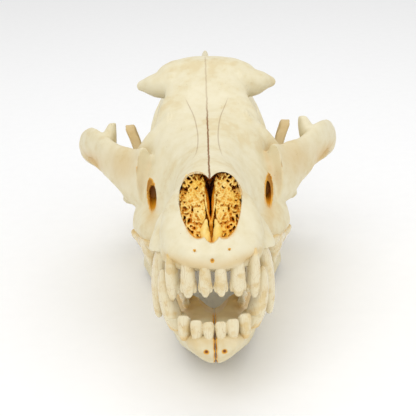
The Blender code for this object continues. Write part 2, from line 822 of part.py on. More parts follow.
def pose(parts, jaws):
    """Snout up, jaw cut flat on the ground, box centred over the origin, in metres."""
    for part in parts:
        part.data.transform(Matrix.Rotation(-SNOUT_UP, 4, "X"))
    floor = min(vertex.co.z for jaw in jaws for vertex in jaw.data.vertices) + FOOT_DEPTH
    for jaw in jaws:
        combine(jaw, [block("above_ground", (-FAR, -FAR, floor), (FAR, FAR, FAR))], "INTERSECT")
    points = np.array([vertex.co for part in parts for vertex in part.data.vertices])
    centre = (points.min(axis=0) + points.max(axis=0)) / 2
    shift = Vector((-centre[0], -centre[1], -floor)) * MM
    for part in parts:
        part.data.transform(Matrix.Translation(shift) @ Matrix.Scale(MM, 4))
    return -shift.y, -shift.z


def gather(parts):
    """Each part gets its own bone material and a place in the skull's collection."""
    skull = bpy.data.collections.new("wolf_skull")
    bpy.context.scene.collection.children.link(skull)
    for part in parts:
        part.data.materials.clear()
        part.data.materials.append(bone_material(part.name + "_bone", COLOURS[part.name]))
        part.data.shade_smooth()
        bpy.context.scene.collection.objects.unlink(part)
        skull.objects.link(part)


clear_scene()
muzzle, braincase, arch_left = divide_cranium(build_cranium())
build_muzzle(muzzle)
arch_right = copy_of(arch_left, "zygomatic_arch_right")
mirror_mesh(arch_right.data)
jaw_left = build_jaw()
jaw_right = copy_of(jaw_left, "mandible_right")
mirror_mesh(jaw_right.data)
parts = [muzzle, braincase, arch_left, arch_right, jaw_left, jaw_right]
shift_y, shift_z = pose(parts, [jaw_left, jaw_right])
gather(parts)
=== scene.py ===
# %% [markdown]
# A wolf skull with its lower jaw, life size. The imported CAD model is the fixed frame: every piece below is
# laid out in the same space and rides on the one body, because nothing on a display skull moves.

# %% Load the frame
import math
import bmesh
import bpy
import numpy as np
from mathutils import Matrix, Vector, noise


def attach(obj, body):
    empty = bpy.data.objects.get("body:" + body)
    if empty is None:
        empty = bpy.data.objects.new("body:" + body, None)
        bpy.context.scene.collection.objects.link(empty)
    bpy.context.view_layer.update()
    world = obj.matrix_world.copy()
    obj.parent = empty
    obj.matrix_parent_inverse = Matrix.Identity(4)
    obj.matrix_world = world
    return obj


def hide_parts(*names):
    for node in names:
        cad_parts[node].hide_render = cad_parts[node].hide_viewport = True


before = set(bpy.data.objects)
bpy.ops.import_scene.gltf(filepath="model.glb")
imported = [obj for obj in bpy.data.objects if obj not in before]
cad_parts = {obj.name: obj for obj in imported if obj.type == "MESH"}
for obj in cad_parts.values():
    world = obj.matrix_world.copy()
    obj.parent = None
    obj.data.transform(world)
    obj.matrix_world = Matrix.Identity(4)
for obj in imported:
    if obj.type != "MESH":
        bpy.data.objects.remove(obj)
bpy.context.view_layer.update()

# %% [markdown]
# Bones are easiest to draw with the palate level, so all sizes here are millimetres in a skull frame: y = 0
# at the front of the upper incisors, z = 0 along the upper gum line, x across. One matrix then turns the
# snout up and sets the skull down on its lower jaw. The lower jaw first swings open about the hinge behind
# the cheeks.

# %% The skull frame
MM = 0.001
SNOUT_UP = math.radians(12.5)
MOUTH_OPEN = math.radians(4.0)
HINGE = Vector((0.0, 195.0, 8.0))
SHIFT = Vector((0.0, -0.13962696492671967, 0.07108680158853531))

TO_WORLD = Matrix.Translation(SHIFT) @ Matrix.Rotation(-SNOUT_UP, 4, "X") @ Matrix.Scale(MM, 4)
OPEN_JAW = Matrix.Translation(HINGE) @ Matrix.Rotation(MOUTH_OPEN, 4, "X") @ Matrix.Translation(-HINGE)
print("front of the incisors lands at", [round(v, 4) for v in TO_WORLD @ Vector((0, 0, 0))])

# %% [markdown]
# A long lens from about half a metre flattens an object only a little, so the near teeth look large and the
# far forehead small. The camera looks down on the palate by eight degrees and leans slightly to one side.

# %% Camera, floor and light
LENS_IN_PIXELS = 1050
PICTURE = 416
CAMERA_DISTANCE = 0.450
LOOK_DOWN = math.radians(8.0) + SNOUT_UP
LEAN = math.radians(2.0)
AIM_ABOVE_GUM = 0.0266


def make_camera():
    data = bpy.data.cameras.new("camera")
    data.sensor_width = 36.0
    data.lens = 36.0 * LENS_IN_PIXELS / PICTURE
    data.shift_x = -2.5 / PICTURE
    data.clip_start = 0.01
    ahead = Vector((0, math.cos(LOOK_DOWN), -math.sin(LOOK_DOWN)))
    up = Vector((0, math.sin(LOOK_DOWN), math.cos(LOOK_DOWN)))
    across = Vector((1, 0, 0))
    place = TO_WORLD @ Vector((0, 0, 0)) - ahead * CAMERA_DISTANCE + up * AIM_ABOVE_GUM
    right = across * math.cos(LEAN) - up * math.sin(LEAN)
    top = across * math.sin(LEAN) + up * math.cos(LEAN)
    matrix = Matrix((right, top, -ahead)).transposed().to_4x4()
    matrix.translation = place
    camera = bpy.data.objects.new("camera", data)
    camera.matrix_world = matrix
    bpy.context.scene.collection.objects.link(camera)
    bpy.context.scene.camera = camera
    return camera


def add_area_light(name, place, target, size, power, colour=(1, 1, 1)):
    data = bpy.data.lights.new(name, "AREA")
    data.size = size
    data.energy = power
    data.color = colour
    lamp = bpy.data.objects.new(name, data)
    lamp.location = place
    lamp.rotation_euler = (Vector(target) - Vector(place)).to_track_quat("-Z", "Y").to_euler()
    bpy.context.scene.collection.objects.link(lamp)
    return lamp


camera = make_camera()
middle = (0.0, 0.0, 0.06)
add_area_light("key", (-0.35, -0.75, 0.95), middle, 0.7, 3.2)
add_area_light("fill", (0.75, -0.70, 0.55), middle, 0.9, 1.6)
add_area_light("top", (0.0, 0.25, 1.1), middle, 0.8, 2.2)
world = bpy.data.worlds.new("studio")
world.use_nodes = True
world.node_tree.nodes["Background"].inputs["Color"].default_value = (1.0, 1.0, 1.0, 1.0)
world.node_tree.nodes["Background"].inputs["Strength"].default_value = 0.75
bpy.context.scene.world = world
bpy.context.scene.view_settings.view_transform = "Standard"
print("camera at", [round(v, 3) for v in camera.matrix_world.translation])

# %% [markdown]
# The floor is a plain pale sheet with a faint paper tooth, so that it catches a soft shadow and nothing
# else.


# %% Floor
def make_floor():
    bm = bmesh.new()
    bmesh.ops.create_grid(bm, x_segments=1, y_segments=1, size=4.0)
    mesh = bpy.data.meshes.new("floor")
    bm.to_mesh(mesh)
    bm.free()
    floor = bpy.data.objects.new("floor", mesh)
    floor.location.z = -0.0002
    bpy.context.scene.collection.objects.link(floor)
    material = bpy.data.materials.new("pale_paper")
    material.use_nodes = True
    nodes = material.node_tree.nodes
    shader = nodes["Principled BSDF"]
    shader.inputs["Roughness"].default_value = 0.9
    tooth = nodes.new("ShaderNodeTexNoise")
    tooth.inputs["Scale"].default_value = 900.0
    tint = nodes.new("ShaderNodeMapRange")
    tint.inputs["To Min"].default_value = 0.95
    tint.inputs["To Max"].default_value = 0.98
    material.node_tree.links.new(tooth.outputs["Fac"], tint.inputs["Value"])
    material.node_tree.links.new(tint.outputs["Result"], shader.inputs["Base Color"])
    mesh.materials.append(material)


make_floor()

# %% [markdown]
# Most bones of a skull are swelling tubes. Each tube is a row of cross-sections: Blender draws a circle,
# its points are pushed out to the section's width and height, and bridging the rings makes the skin. A
# short table of sizes for each bone keeps the form easy to change, and a smooth curve through the table
# gives the rings in between.

# %% Rings and skins
SIDES = 64
STEPS = 10


def smooth_rows(rows, steps=STEPS):
    """Rows of sizes with rows on a smooth curve added in between."""
    rows = np.array(rows, float)
    padded = np.vstack([2 * rows[0] - rows[1], rows, 2 * rows[-1] - rows[-2]])
    out = []
    for i in range(1, len(padded) - 2):
        a, b, c, d = padded[i - 1 : i + 3]
        for k in range(steps):
            t = k / steps
            bend = (2 * a - 5 * b + 4 * c - d) * t**2 + (3 * b - a - 3 * c + d) * t**3
            out.append(0.5 * (2 * b + (c - a) * t + bend))
    out.append(rows[-1])
    return out


def skin(bm, places, sides=SIDES):
    """Rings joined into a closed skin. Each place turns a point of a unit circle into a point of the bone."""
    rings = []
    for place in places:
        ring = bmesh.ops.create_circle(bm, cap_ends=False, segments=sides, radius=1.0)["verts"]
        for vertex in ring:
            vertex.co = place(vertex.co.x, vertex.co.y)
        rings.append(list({edge for vertex in ring for edge in vertex.link_edges}))
    for ring, following in zip(rings, rings[1:]):
        bmesh.ops.bridge_loops(bm, edges=ring + following)
    bmesh.ops.edgeloop_fill(bm, edges=rings[0])
    bmesh.ops.edgeloop_fill(bm, edges=rings[-1])


def signed_power(value, power):
    return math.copysign(abs(value) ** power, value)


def section(y, low, high, wide_low, wide_high, power, x=0.0):
    def place(c, s):
        across, up = signed_power(c, 2 / power), signed_power(s, 2 / power)
        half = wide_low + (wide_high - wide_low) * (up + 1) / 2
        return Vector((x + half * across, y, (low + high) / 2 + (high - low) / 2 * up))

    return place


def trunk(bm, rows, x=0.0):
    """Rows of y, low, high, half width low, half width high, squareness."""
    skin(bm, [section(*row, x=x) for row in smooth_rows(rows)])


def bar(bm, rows):
    """Rows of x, y, z, half thickness, half height along an arch."""
    rows = smooth_rows(rows)
    places = []
    for i, row in enumerate(rows):
        along = rows[min(i + 1, len(rows) - 1)][:2] - rows[max(i - 1, 0)][:2]
        along = along / max(np.linalg.norm(along), 1e-6)
        side = Vector((along[1], -along[0], 0.0))
        centre = Vector(row[:3])
        wide, high = row[3:]
        places.append(lambda c, s, o=centre, n=side, w=wide, h=high: o + n * w * c + Vector((0, 0, h * s)))
    skin(bm, places, sides=24)


def column(bm, rows):
    """Rows of x, y, z, radius x, radius y with level rings."""
    places = []
    for x, y, z, wide, deep in smooth_rows(rows):
        places.append(lambda c, s, x=x, y=y, z=z, w=wide, d=deep: Vector((x + w * c, y + d * s, z)))
    skin(bm, places, sides=24)


def ball(bm, centre, radii):
    made = bmesh.ops.create_icosphere(bm, subdivisions=5, radius=1.0)["verts"]
    for vertex in made:
        vertex.co = Vector(centre) + Vector([r * v for r, v in zip(radii, vertex.co)])


def both_sides(bm, build):
    """Builds the left-hand pieces, then their mirror image."""
    half = bmesh.new()
    build(half)
    for sign in (1, -1):
        copy = half.copy()
        bmesh.ops.scale(copy, vec=(sign, 1, 1), verts=copy.verts)
        carrier = bpy.data.meshes.new("carrier")
        copy.to_mesh(carrier)
        bm.from_mesh(carrier)
        bpy.data.meshes.remove(carrier)
        copy.free()
    half.free()


def to_object(bm, name):
    bmesh.ops.recalc_face_normals(bm, faces=bm.faces)
    mesh = bpy.data.meshes.new(name)
    bm.to_mesh(mesh)
    bm.free()
    obj = bpy.data.objects.new(name, mesh)
    bpy.context.scene.collection.objects.link(obj)
    return obj


def bake(obj):
    """Makes the modifiers' result the object's own mesh."""
    bpy.context.view_layer.update()
    result = bpy.data.meshes.new_from_object(obj.evaluated_get(bpy.context.evaluated_depsgraph_get()))
    obj.modifiers.clear()
    obj.data = result


def grow_together(obj, voxel, passes):
    """Fuses overlapping skins into one bone surface and softens the joins."""
    fuse = obj.modifiers.new("fuse", "REMESH")
    fuse.mode = "VOXEL"
    fuse.voxel_size = voxel
    soften = obj.modifiers.new("soften", "SMOOTH")
    soften.factor = 0.5
    soften.iterations = passes
    bake(obj)


def carve(obj, cutter, operation="DIFFERENCE"):
    cut = obj.modifiers.new("cut", "BOOLEAN")
    cut.operation = operation
    cut.object = cutter
    cut.solver = "MANIFOLD"
    bake(obj)
    bpy.data.objects.remove(cutter, do_unlink=True)


def triangles(obj):
    return sum(len(p.vertices) - 2 for p in obj.data.polygons)


# Most triangles of each piece after thinning
MOST_JAW = 150000
MOST_TEETH = 190000
MOST_SCROLLS = 190000
MOST_KEEL = 60000
MOST_FRONT = 195000
MOST_BACK = 120000


def thin_out(obj, most):
    count = triangles(obj)
    if count > most:
        fewer = obj.modifiers.new("fewer", "DECIMATE")
        fewer.ratio = most / count
        bake(obj)
    print(obj.name, count, "->", triangles(obj), "triangles")


# %% [markdown]
# The face is a long snout, a square gum ridge that holds the teeth, the walls between the eye sockets and a
# broad forehead with a spur over each eye. The sizes come from the photograph, through the camera above.

# %% Face and forehead
SNOUT = [
    (1.0, -2.0, 4.5, 9.0, 6.0, 2.6), (4.0, -2.5, 8.5, 15.0, 10.0, 2.6),
    (9.0, -2.5, 13.5, 20.0, 15.0, 2.6), (14.0, -2.5, 19.5, 23.0, 18.0, 2.6),
    (21.0, -2.5, 28.0, 25.0, 20.0, 2.6), (30.0, -2.5, 36.0, 26.0, 19.0, 2.6),
    (40.0, -2.0, 40.0, 24.5, 16.0, 2.6), (58.0, -1.0, 43.5, 23.5, 14.5, 2.6),
    (74.0, -1.0, 47.5, 28.0, 15.0, 2.4), (88.0, -1.0, 52.5, 36.0, 19.0, 2.4),
    (98.0, -1.0, 57.0, 40.0, 24.0, 2.4), (107.0, -1.0, 61.0, 41.0, 28.0, 2.6),
    (114.0, 0.0, 64.5, 38.5, 29.0, 2.6), (121.0, 3.0, 68.0, 32.0, 26.0, 2.4),
    (128.0, 8.0, 70.0, 24.0, 22.0, 2.4),
]
GUM_RIDGE = [
    (2.2, -3.5, 8.0, 10.5, 8.0, 3.0), (6.0, -3.5, 12.0, 17.0, 13.0, 3.4),
    (12.0, -3.0, 14.0, 22.0, 18.0, 4.0), (20.0, -3.0, 14.0, 25.0, 20.0, 4.0),
    (31.0, -3.0, 14.0, 26.5, 21.0, 4.0), (44.0, -2.5, 14.0, 23.5, 20.0, 4.0),
    (60.0, -2.0, 14.0, 24.0, 21.0, 4.0), (76.0, -2.0, 15.0, 30.5, 25.5, 4.0),
    (84.0, -3.0, 16.0, 36.5, 30.5, 3.4), (92.0, -3.5, 18.0, 40.5, 35.0, 3.2),
    (106.0, -3.5, 21.0, 42.5, 39.0, 3.2), (118.0, -3.0, 18.0, 38.5, 35.0, 3.2),
    (130.0, 0.0, 16.0, 31.0, 26.0, 3.4), (135.0, 5.0, 14.0, 25.0, 20.0, 3.0),
]
EYE_WALLS = [
    (104.0, 12.0, 56.0, 22.0, 20.0, 2.4), (124.0, 3.0, 68.0, 18.0, 21.0, 2.4),
    (140.0, 0.0, 76.0, 15.0, 20.0, 2.4), (156.0, 4.0, 78.0, 14.0, 20.0, 2.4),
    (176.0, 10.0, 80.0, 20.0, 19.0, 2.2), (196.0, 14.0, 80.0, 28.0, 22.0, 2.2),
]
FOREHEAD = [
    (109.0, 38.0, 61.0, 34.0, 21.0, 2.8), (121.0, 48.0, 69.5, 30.5, 23.5, 2.8),
    (132.0, 56.0, 78.0, 24.0, 22.5, 2.4), (140.0, 60.0, 84.0, 20.5, 25.0, 2.2),
    (147.0, 64.0, 89.3, 20.0, 33.0, 2.05), (154.0, 66.0, 91.2, 18.0, 34.0, 2.05),
    (162.0, 66.0, 92.0, 17.0, 27.0, 2.1), (174.0, 60.0, 91.0, 18.0, 15.0, 2.0),
    (190.0, 60.0, 88.0, 22.0, 8.0, 2.0),
]


def build_face(bm):
    trunk(bm, SNOUT)
    trunk(bm, GUM_RIDGE)
    trunk(bm, EYE_WALLS)
    trunk(bm, FOREHEAD)


# %% [markdown]
# Each cheek arch bows out from above the molars and back to the ear. It is one bent bar with changing
# thickness, plus a spur at the top of the eye socket's rim, a swelling over the long root of the fang, and
# the socket for the jaw.

# %% Cheeks
EYE_RIM = [
    (20.0, 114.0, 56.0, 5.0, 7.0), (31.0, 115.0, 43.5, 5.0, 7.5), (38.5, 118.0, 35.0, 4.5, 7.0),
    (47.0, 124.0, 34.0, 4.5, 7.0),
]
ARCH = [
    (33.0, 100.0, 30.0, 6.0, 16.0), (40.5, 112.0, 29.0, 6.5, 15.0), (48.5, 124.0, 33.5, 5.5, 12.0),
    (57.0, 136.0, 39.0, 4.5, 11.2), (64.5, 148.0, 43.0, 4.2, 11.0), (69.5, 162.0, 43.0, 4.0, 9.0),
    (71.3, 176.0, 40.0, 3.8, 7.5), (69.0, 188.0, 35.0, 3.8, 7.0), (61.0, 199.0, 30.0, 4.5, 7.0),
    (47.0, 206.0, 27.0, 6.0, 7.0), (28.0, 210.0, 27.0, 8.0, 8.0),
]
BROW_SPUR = [
    (18.0, 150.0, 76.4, 13.0, 9.0), (28.0, 151.0, 76.2, 9.5, 7.0), (34.0, 152.5, 76.2, 5.5, 4.2),
    (38.4, 154.0, 75.8, 2.5, 2.2),
]
ARCH_SPUR = [
    (57.5, 141.0, 40.0, 5.5, 7.0), (55.0, 142.0, 49.0, 4.2, 5.5), (52.8, 143.5, 56.5, 2.0, 2.6),
]
HINGE_SOCKET = [
    (184, 20, 30, 9, 8, 2.4), (190, 16, 32, 13, 12, 2.4), (203, 6, 32, 13, 12, 2.4),
    (209, 12, 30, 10, 8, 2.4),
]
FANG_ROOT = [
    (17.5, 46.0, 22.0, 4.0, 6.0), (20.4, 38.0, 12.0, 6.2, 8.4), (22.2, 31.0, -1.5, 6.9, 9.0),
]


def build_cheek(bm):
    bar(bm, EYE_RIM)
    bar(bm, ARCH)
    bar(bm, BROW_SPUR)
    column(bm, ARCH_SPUR)
    trunk(bm, HINGE_SOCKET, x=43.0)
    column(bm, FANG_ROOT)


# %% [markdown]
# The braincase is an egg with a tall thin crest for the jaw muscles along its top and a collar across its
# back. Below it are two ear capsules, the two rollers that meet the neck, and a pair of thin sheets behind
# the palate.

# %% Back of the skull
# x, y, z of the middle and the three radii of each ball
BRAINCASE = ((0, 208, 50), (31.5, 54, 33.5))
EAR_CAPSULE = ((20.5, 209, 7), (11, 15, 13))
NECK_ROLLER = ((12.5, 249, 18), (7.5, 9, 9))
CREST = [
    (158, 70, 88.0, 8.0, 4.0, 2.0), (176, 60, 91.0, 9.0, 2.4, 2.0), (205, 60, 93.0, 9.0, 2.4, 2.0),
    (235, 60, 95.0, 9.0, 2.4, 2.0), (258, 60, 92.5, 9.0, 2.4, 2.0), (268, 66, 88.0, 7.0, 2.4, 2.0),
]
BACK_WALL = [
    (218, 10, 79, 34, 22, 2.6), (234, 10, 81, 36, 26, 2.6), (246, 12, 83, 33, 24, 2.6),
    (256, 26, 84, 26, 18, 2.6), (264, 60, 85, 14, 11, 2.4),
]
SKULL_BASE = [
    (128, 4, 24, 15, 16, 2.6), (148, 4, 26, 12, 16, 2.6), (172, 8, 30, 11, 18, 2.6),
    (205, 8, 32, 16, 24, 2.6), (232, 10, 34, 15, 22, 2.6), (246, 13, 34, 13, 14, 2.6),
]


def build_back(bm):
    ball(bm, *BRAINCASE)
    trunk(bm, CREST)
    trunk(bm, BACK_WALL)
    trunk(bm, SKULL_BASE)


NAPE_BAR = [
    (0.0, 265.5, 83.0, 3.5, 6.0), (13.0, 262.0, 78.0, 3.5, 6.5), (22.5, 253.5, 67.0, 4.5, 9.0),
    (31.0, 243.0, 50.0, 4.5, 10.0), (34.5, 231.0, 35.0, 5.0, 9.0),
]
EAR_SPUR = [
    (25.0, 229.0, 26.0, 7.0, 6.0), (26.0, 232.0, 8.0, 5.0, 4.0), (26.0, 233.0, -3.0, 2.0, 2.0),
]
PALATE_SHEET = [
    (132, -1, 22, 2.2, 3.0, 2.2), (160, -3, 22, 1.8, 3.0, 2.2), (176, 0, 22, 1.6, 3.0, 2.2),
    (184, 8, 22, 1.6, 3.0, 2.2),
]


def build_back_side(bm):
    bar(bm, NAPE_BAR)
    ball(bm, *EAR_CAPSULE)
    ball(bm, *NECK_ROLLER)
    column(bm, EAR_SPUR)
    trunk(bm, PALATE_SHEET, x=11.0)


# %% [markdown]
# Fusing the skins with a voxel remesh gives one continuous bone with soft joins, as a sculptor would. The
# openings are cut afterwards so that their rims stay crisp: the nose, a nerve hole in each cheek, the neck
# hole and the rooms that the jaw's hinge rollers turn in.

# %% Cranium
FINE = 0.62
CRANIUM_SOFTENING = 24
ROLLER = 4.5
SEAM = 0.3


def cutter(name, build):
    bm = bmesh.new()
    build(bm)
    return to_object(bm, name)


LOBE_X = 5.6
NOSE_MIDDLE = 24.6
NOSE_HALF_HEIGHT = 13.4
NOSE_ROUNDNESS = 2.15
ROOM_SPARE = 0.35


def nose_opening(bm):
    """Left half. The two halves overlap and leave a small point at the top and a rise at the bottom."""
    rows = [
        (-2.0, 12.0, 37.0, 5.4, 8.8), (20.0, 12.0, 37.8, 6.4, 9.8),
        (38.0, 12.0, 38.2, 7.0, 8.6), (50.0, 14.0, 36.0, 5.0, 5.0),
    ]
    trunk(bm, [(*row, NOSE_ROUNDNESS) for row in rows], x=LOBE_X)


def nose_floor(bm):
    """The middle of the opening, which comes to a point at the bottom."""
    rows = [
        (-2.0, 9.6, 34.0, 4.0, 9.0, 1.9), (24.0, 10.2, 34.0, 5.0, 9.0, 1.9),
        (46.0, 12.0, 33.0, 4.0, 7.0, 1.9),
    ]
    trunk(bm, rows)


def nerve_hole(bm):
    bar(bm, [(30.6, 70.0, 15.0, 1.7, 4.4), (30.0, 86.0, 19.5, 2.1, 6.4), (29.4, 100.0, 23.0, 1.4, 4.0)])


def neck_hole(bm):
    trunk(bm, [(238, 17, 35, 8, 8, 2.0), (275, 15, 37, 10, 10, 2.0)])


def roller_room(bm):
    reach = ROLLER + SEAM + ROOM_SPARE
    skin(bm, [lambda c, s, x=x: Vector((x, HINGE.y + reach * c, HINGE.z + reach * s)) for x in (28.0, 57.0)])


def build_cranium():
    bm = bmesh.new()
    build_face(bm)
    both_sides(bm, build_cheek)
    build_back(bm)
    both_sides(bm, build_back_side)
    cranium = to_object(bm, "cranium")
    grow_together(cranium, FINE, CRANIUM_SOFTENING)
    for side in (1, -1):
        lobe = cutter("nose", nose_opening)
        lobe.data.transform(Matrix.Scale(side, 4, Vector((1, 0, 0))))
        if side < 0:
            lobe.data.flip_normals()
        carve(cranium, lobe)
    carve(cranium, cutter("nose_floor", nose_floor))
    carve(cranium, cutter("nerve_holes", lambda b: both_sides(b, nerve_hole)))
    carve(cranium, cutter("neck_hole", neck_hole))
    carve(cranium, cutter("roller_rooms", lambda b: both_sides(b, roller_room)))
    return cranium


cranium = build_cranium()
print("cranium", triangles(cranium), "triangles")

# %% [markdown]
# Bone is never an even surface. Roots swell the jaw above each tooth, the cheek dips in front of the eye,
# and the forehead has a shallow furrow. Moving points along their normals by soft bell-shaped amounts adds
# these without any new edges, much like the inflate brush in sculpt mode.

# %% Teeth sizes, shared by the crowns and the sockets
# x, y of the crown's middle, length along the jaw, width across, crown height, turn in degrees
UPPER_CHEEK_TEETH = [
    (20.0, 46.0, 7.0, 4.5, 5.0, 0),
    (21.0, 58.0, 12.0, 5.5, 7.5, 0),
    (26.0, 73.0, 14.0, 6.0, 10.0, 14),
    (32.6, 93.0, 24.0, 10.0, 15.5, 18),
    (33.5, 112.0, 13.0, 18.0, 7.0, 8),
    (29.5, 123.0, 8.0, 11.0, 4.5, 5),
]
LOWER_CHEEK_TEETH = [
    (13.0, 40.0, 5.5, 4.0, 5.0, 0),
    (14.0, 51.0, 11.0, 5.0, 8.0, 8),
    (16.0, 64.0, 12.5, 5.5, 9.0, 10),
    (18.5, 79.0, 15.0, 6.5, 11.0, 10),
    (21.5, 99.0, 26.0, 8.5, 15.0, 9),
    (24.0, 118.0, 10.0, 7.5, 6.0, 10),
    (26.0, 127.0, 5.5, 5.0, 4.0, 10),
]
# x, y, width, depth, crown height, outward lean in degrees
UPPER_INCISORS = [
    (3.4, 4.2, 6.6, 6.0, 15.6, 4), (10.8, 6.5, 8.0, 7.0, 17.5, 12), (17.6, 12.0, 7.4, 9.0, 20.8, 24),
]
LOWER_INCISORS = [
    (2.7, 6.5, 5.2, 5.0, 8.5, 0), (7.9, 8.0, 5.9, 5.6, 9.0, 8), (13.4, 12.0, 6.2, 6.4, 10.0, 16),
]
UPPER_GUM = -1.0
LOWER_GUM = -14.0
LOWER_GUM_EDGE = -13.5
LOWER_FRONT_GUM = -19.5
# x, y at the gum, gum height, tip height, length, width, how far the tip moves back and out
UPPER_FANG = (22.5, 30.0, 0.0, -28.0, 14.0, 9.0, 3.0, 3.0)
LOWER_FANG = (18.6, 20.5, -13.0, 10.0, 11.0, 8.8, -3.5, 3.6)

# %% Reading and moving points
GUM_PLACES = (4.0, 6.5, 12.0, 20.0, 30.0, 40.0, 52.0)
GUM_HEIGHTS = (3.0, 4.5, 5.8, 5.8, 5.6, 3.5, 0.0)


def gum_rise(y):
    """The gum line climbs from the middle front teeth to the fang and comes down behind it."""
    return np.interp(y, GUM_PLACES, GUM_HEIGHTS)


def read(obj, what="co"):
    values = np.empty(len(obj.data.vertices) * 3)
    obj.data.vertices.foreach_get(what, values)
    return values.reshape(-1, 3)


def move(obj, points):
    obj.data.vertices.foreach_set("co", points.ravel())
    obj.data.update()


def store(obj, name, values):
    layer = obj.data.attributes.new(name, "FLOAT", "POINT")
    layer.data.foreach_set("value", np.clip(values, 0, 1).astype(np.float32))


def bell(distance, reach):
    return np.exp(-((distance / reach) ** 2))


def step(values, start, end):
    t = np.clip((values - start) / (end - start), 0, 1)
    return t * t * (3 - 2 * t)


def inflate(obj, amount):
    """Moves each point along its normal by amount(x, y, z, normals), x counted outward on both sides."""
    points = read(obj)
    normals = read(obj, "normal")
    x, y, z = np.abs(points[:, 0]), points[:, 1], points[:, 2]
    move(obj, points + normals * amount(x, y, z, normals)[:, None])


# %% Soft forms of the cranium
# x, z and reach of the small nerve holes over the front teeth, then x and y of the bone's front edge there
FRONT_HOLES = ((0.0, 1.4, 0.65), (7.5, 6.0, 0.4))
FRONT_ACROSS = (0.0, 10.5, 17.0, 22.0, 25.0)
FRONT_DEPTHS = (1.5, 2.2, 6.0, 12.0, 20.0)


def facing_out(normals):
    """1 where the bone faces sideways or forward, and 0 where it faces up, down or back."""
    return np.clip(np.abs(normals[:, 0]) + np.clip(-normals[:, 1], 0, 1), 0, 1)


def front_roots(x, y, normals, incisors, behind):
    """Swellings over the roots of the front teeth, whose middles lie behind the crowns' middles."""
    total = np.zeros(len(x))
    for tooth_x, tooth_y, width, _, _, _ in incisors:
        total += bell(np.hypot(x - tooth_x, (y - tooth_y + behind) * 0.7), 0.42 * width)
    return total * np.clip(-normals[:, 1] * 1.5, 0, 1)


def cheek_roots(y, cheek_teeth, apart, spread, single_up_to=0.0):
    """Swellings over the roots of the cheek teeth: one for a tooth up to a length, two for a longer one."""
    total = np.zeros(len(y))
    for _, tooth_y, length, _, _, _ in cheek_teeth:
        for root in (0.0,) if length <= single_up_to else (-apart, apart):
            total += bell(y - tooth_y - root * length, 0.2 * length + spread)
    return total


def cranium_relief(x, y, z, normals):
    outward = facing_out(normals)
    near_gum = step(z, -5, 1) * (1 - step(z, 4, 15))
    roots = 0.9 * cheek_roots(y, UPPER_CHEEK_TEETH[:4], 0.28, 1.2, 8.0) * near_gum * outward * step(x, 12, 18)
    roots += 0.8 * front_roots(x, y, normals, UPPER_INCISORS, 3) * step(z, -4, 0) * (1 - step(z, 3, 11))
    pin_holes = sum(bell(np.hypot(x - hole_x, z - hole_z), reach) for hole_x, hole_z, reach in FRONT_HOLES)
    pin_holes = 1.4 * pin_holes * (1 - step(y, 8, 12))
    premolar_hollow = 1.6 * bell(y - 62, 16) * bell(z - 20, 9) * step(x, 14, 20)
    forehead_furrow = 1.5 * bell(x, 7) * bell(y - 128, 26) * step(z, 50, 60)
    nose_side_dip = 0.7 * bell(x - 17, 5) * bell(y - 30, 12) * step(z, 12, 18) * (1 - step(z, 30, 38))
    dip_before_eye = 1.5 * bell(y - 104, 13) * bell(z - 36, 9) * step(x, 24, 32)
    snout_edge = bell(x - 29.5 - (y - 80) * 0.3, 3) * bell(y - 95, 22) * step(z, 40, 50)
    eye_rim_swell = 1.1 * bell(y - 116, 7) * bell(z - 47, 8) * step(x, 24, 30)
    arch_bed = 3.0 * bell(y - 151, 15) * bell(z - 34.5, 6.5) * step(x, 55, 62) * step(outward, 0.2, 0.7)
    raised = roots + snout_edge + eye_rim_swell
    return raised - premolar_hollow - forehead_furrow - pin_holes - nose_side_dip - dip_before_eye - arch_bed


def lift_gum(obj):
    """Raises the gum line over the front teeth. The bone behind their necks stays lower."""
    points = read(obj)
    x, y, z = np.abs(points[:, 0]), points[:, 1], points[:, 2]
    behind = y - np.interp(x, FRONT_ACROSS, FRONT_DEPTHS)
    share = 1 - 0.75 * step(behind, 2.5, 6.0) * (1 - step(y, 16, 24))
    points[:, 2] += gum_rise(y) * (1 - step(z, 0, 15)) * share
    move(obj, points)


inflate(cranium, cranium_relief)
lift_gum(cranium)
print("cranium after relief", [round(v, 1) for v in read(cranium).max(axis=0)])

# %% [markdown]
# Fine unevenness comes from two layers of noise, a broad one and a finer, weaker one. Both are small, under
# a millimetre, and mostly show in the highlights.

# %% Uneven bone
def uneven(obj, size, strength):
    """Noise at one size, in millimetres, along the normals."""
    points = read(obj)
    normals = read(obj, "normal")
    lumps = np.array([noise.noise(Vector(p) / size) for p in points])
    move(obj, points + normals * (strength * lumps)[:, None])


uneven(cranium, 17.0, 0.9)
uneven(cranium, 5.0, 0.22)

# %% [markdown]
# The lower jaw is two mirrored halves that meet at the chin in a rough crack. Each has a thick body under
# the teeth and, behind them, a thin sheet for the biting muscle that ends in a curled tip, a hinge roller
# and a rear hook.


# %% Lower jaw
def outline_points(corners, steps=4):
    """Points on a smooth closed curve through the corners."""
    corners = [Vector(c) for c in corners]
    count = len(corners)
    out = []
    for i in range(count):
        a, b, c, d = (corners[(i + k) % count] for k in (-1, 0, 1, 2))
        for k in range(steps):
            t = k / steps
            bend = (2 * a - 5 * b + 4 * c - d) * t**2 + (3 * b - a - 3 * c + d) * t**3
            out.append(0.5 * (2 * b + (c - a) * t + bend))
    return out


SHEET_X = 35.5
SHEET_THICK = 5.0
SHEET_INWARD, SHEET_INWARD_BEFORE = 0.28, 165.0
SHEET_BOW, SHEET_BOW_ABOVE = 0.0045, 15.0


def sheet_shift(y, z):
    """The sheet follows the tooth row inward towards the front, and its tip curls out."""
    return -SHEET_INWARD * max(SHEET_INWARD_BEFORE - y, 0.0) + SHEET_BOW * max(z - SHEET_BOW_ABOVE, 0.0) ** 2


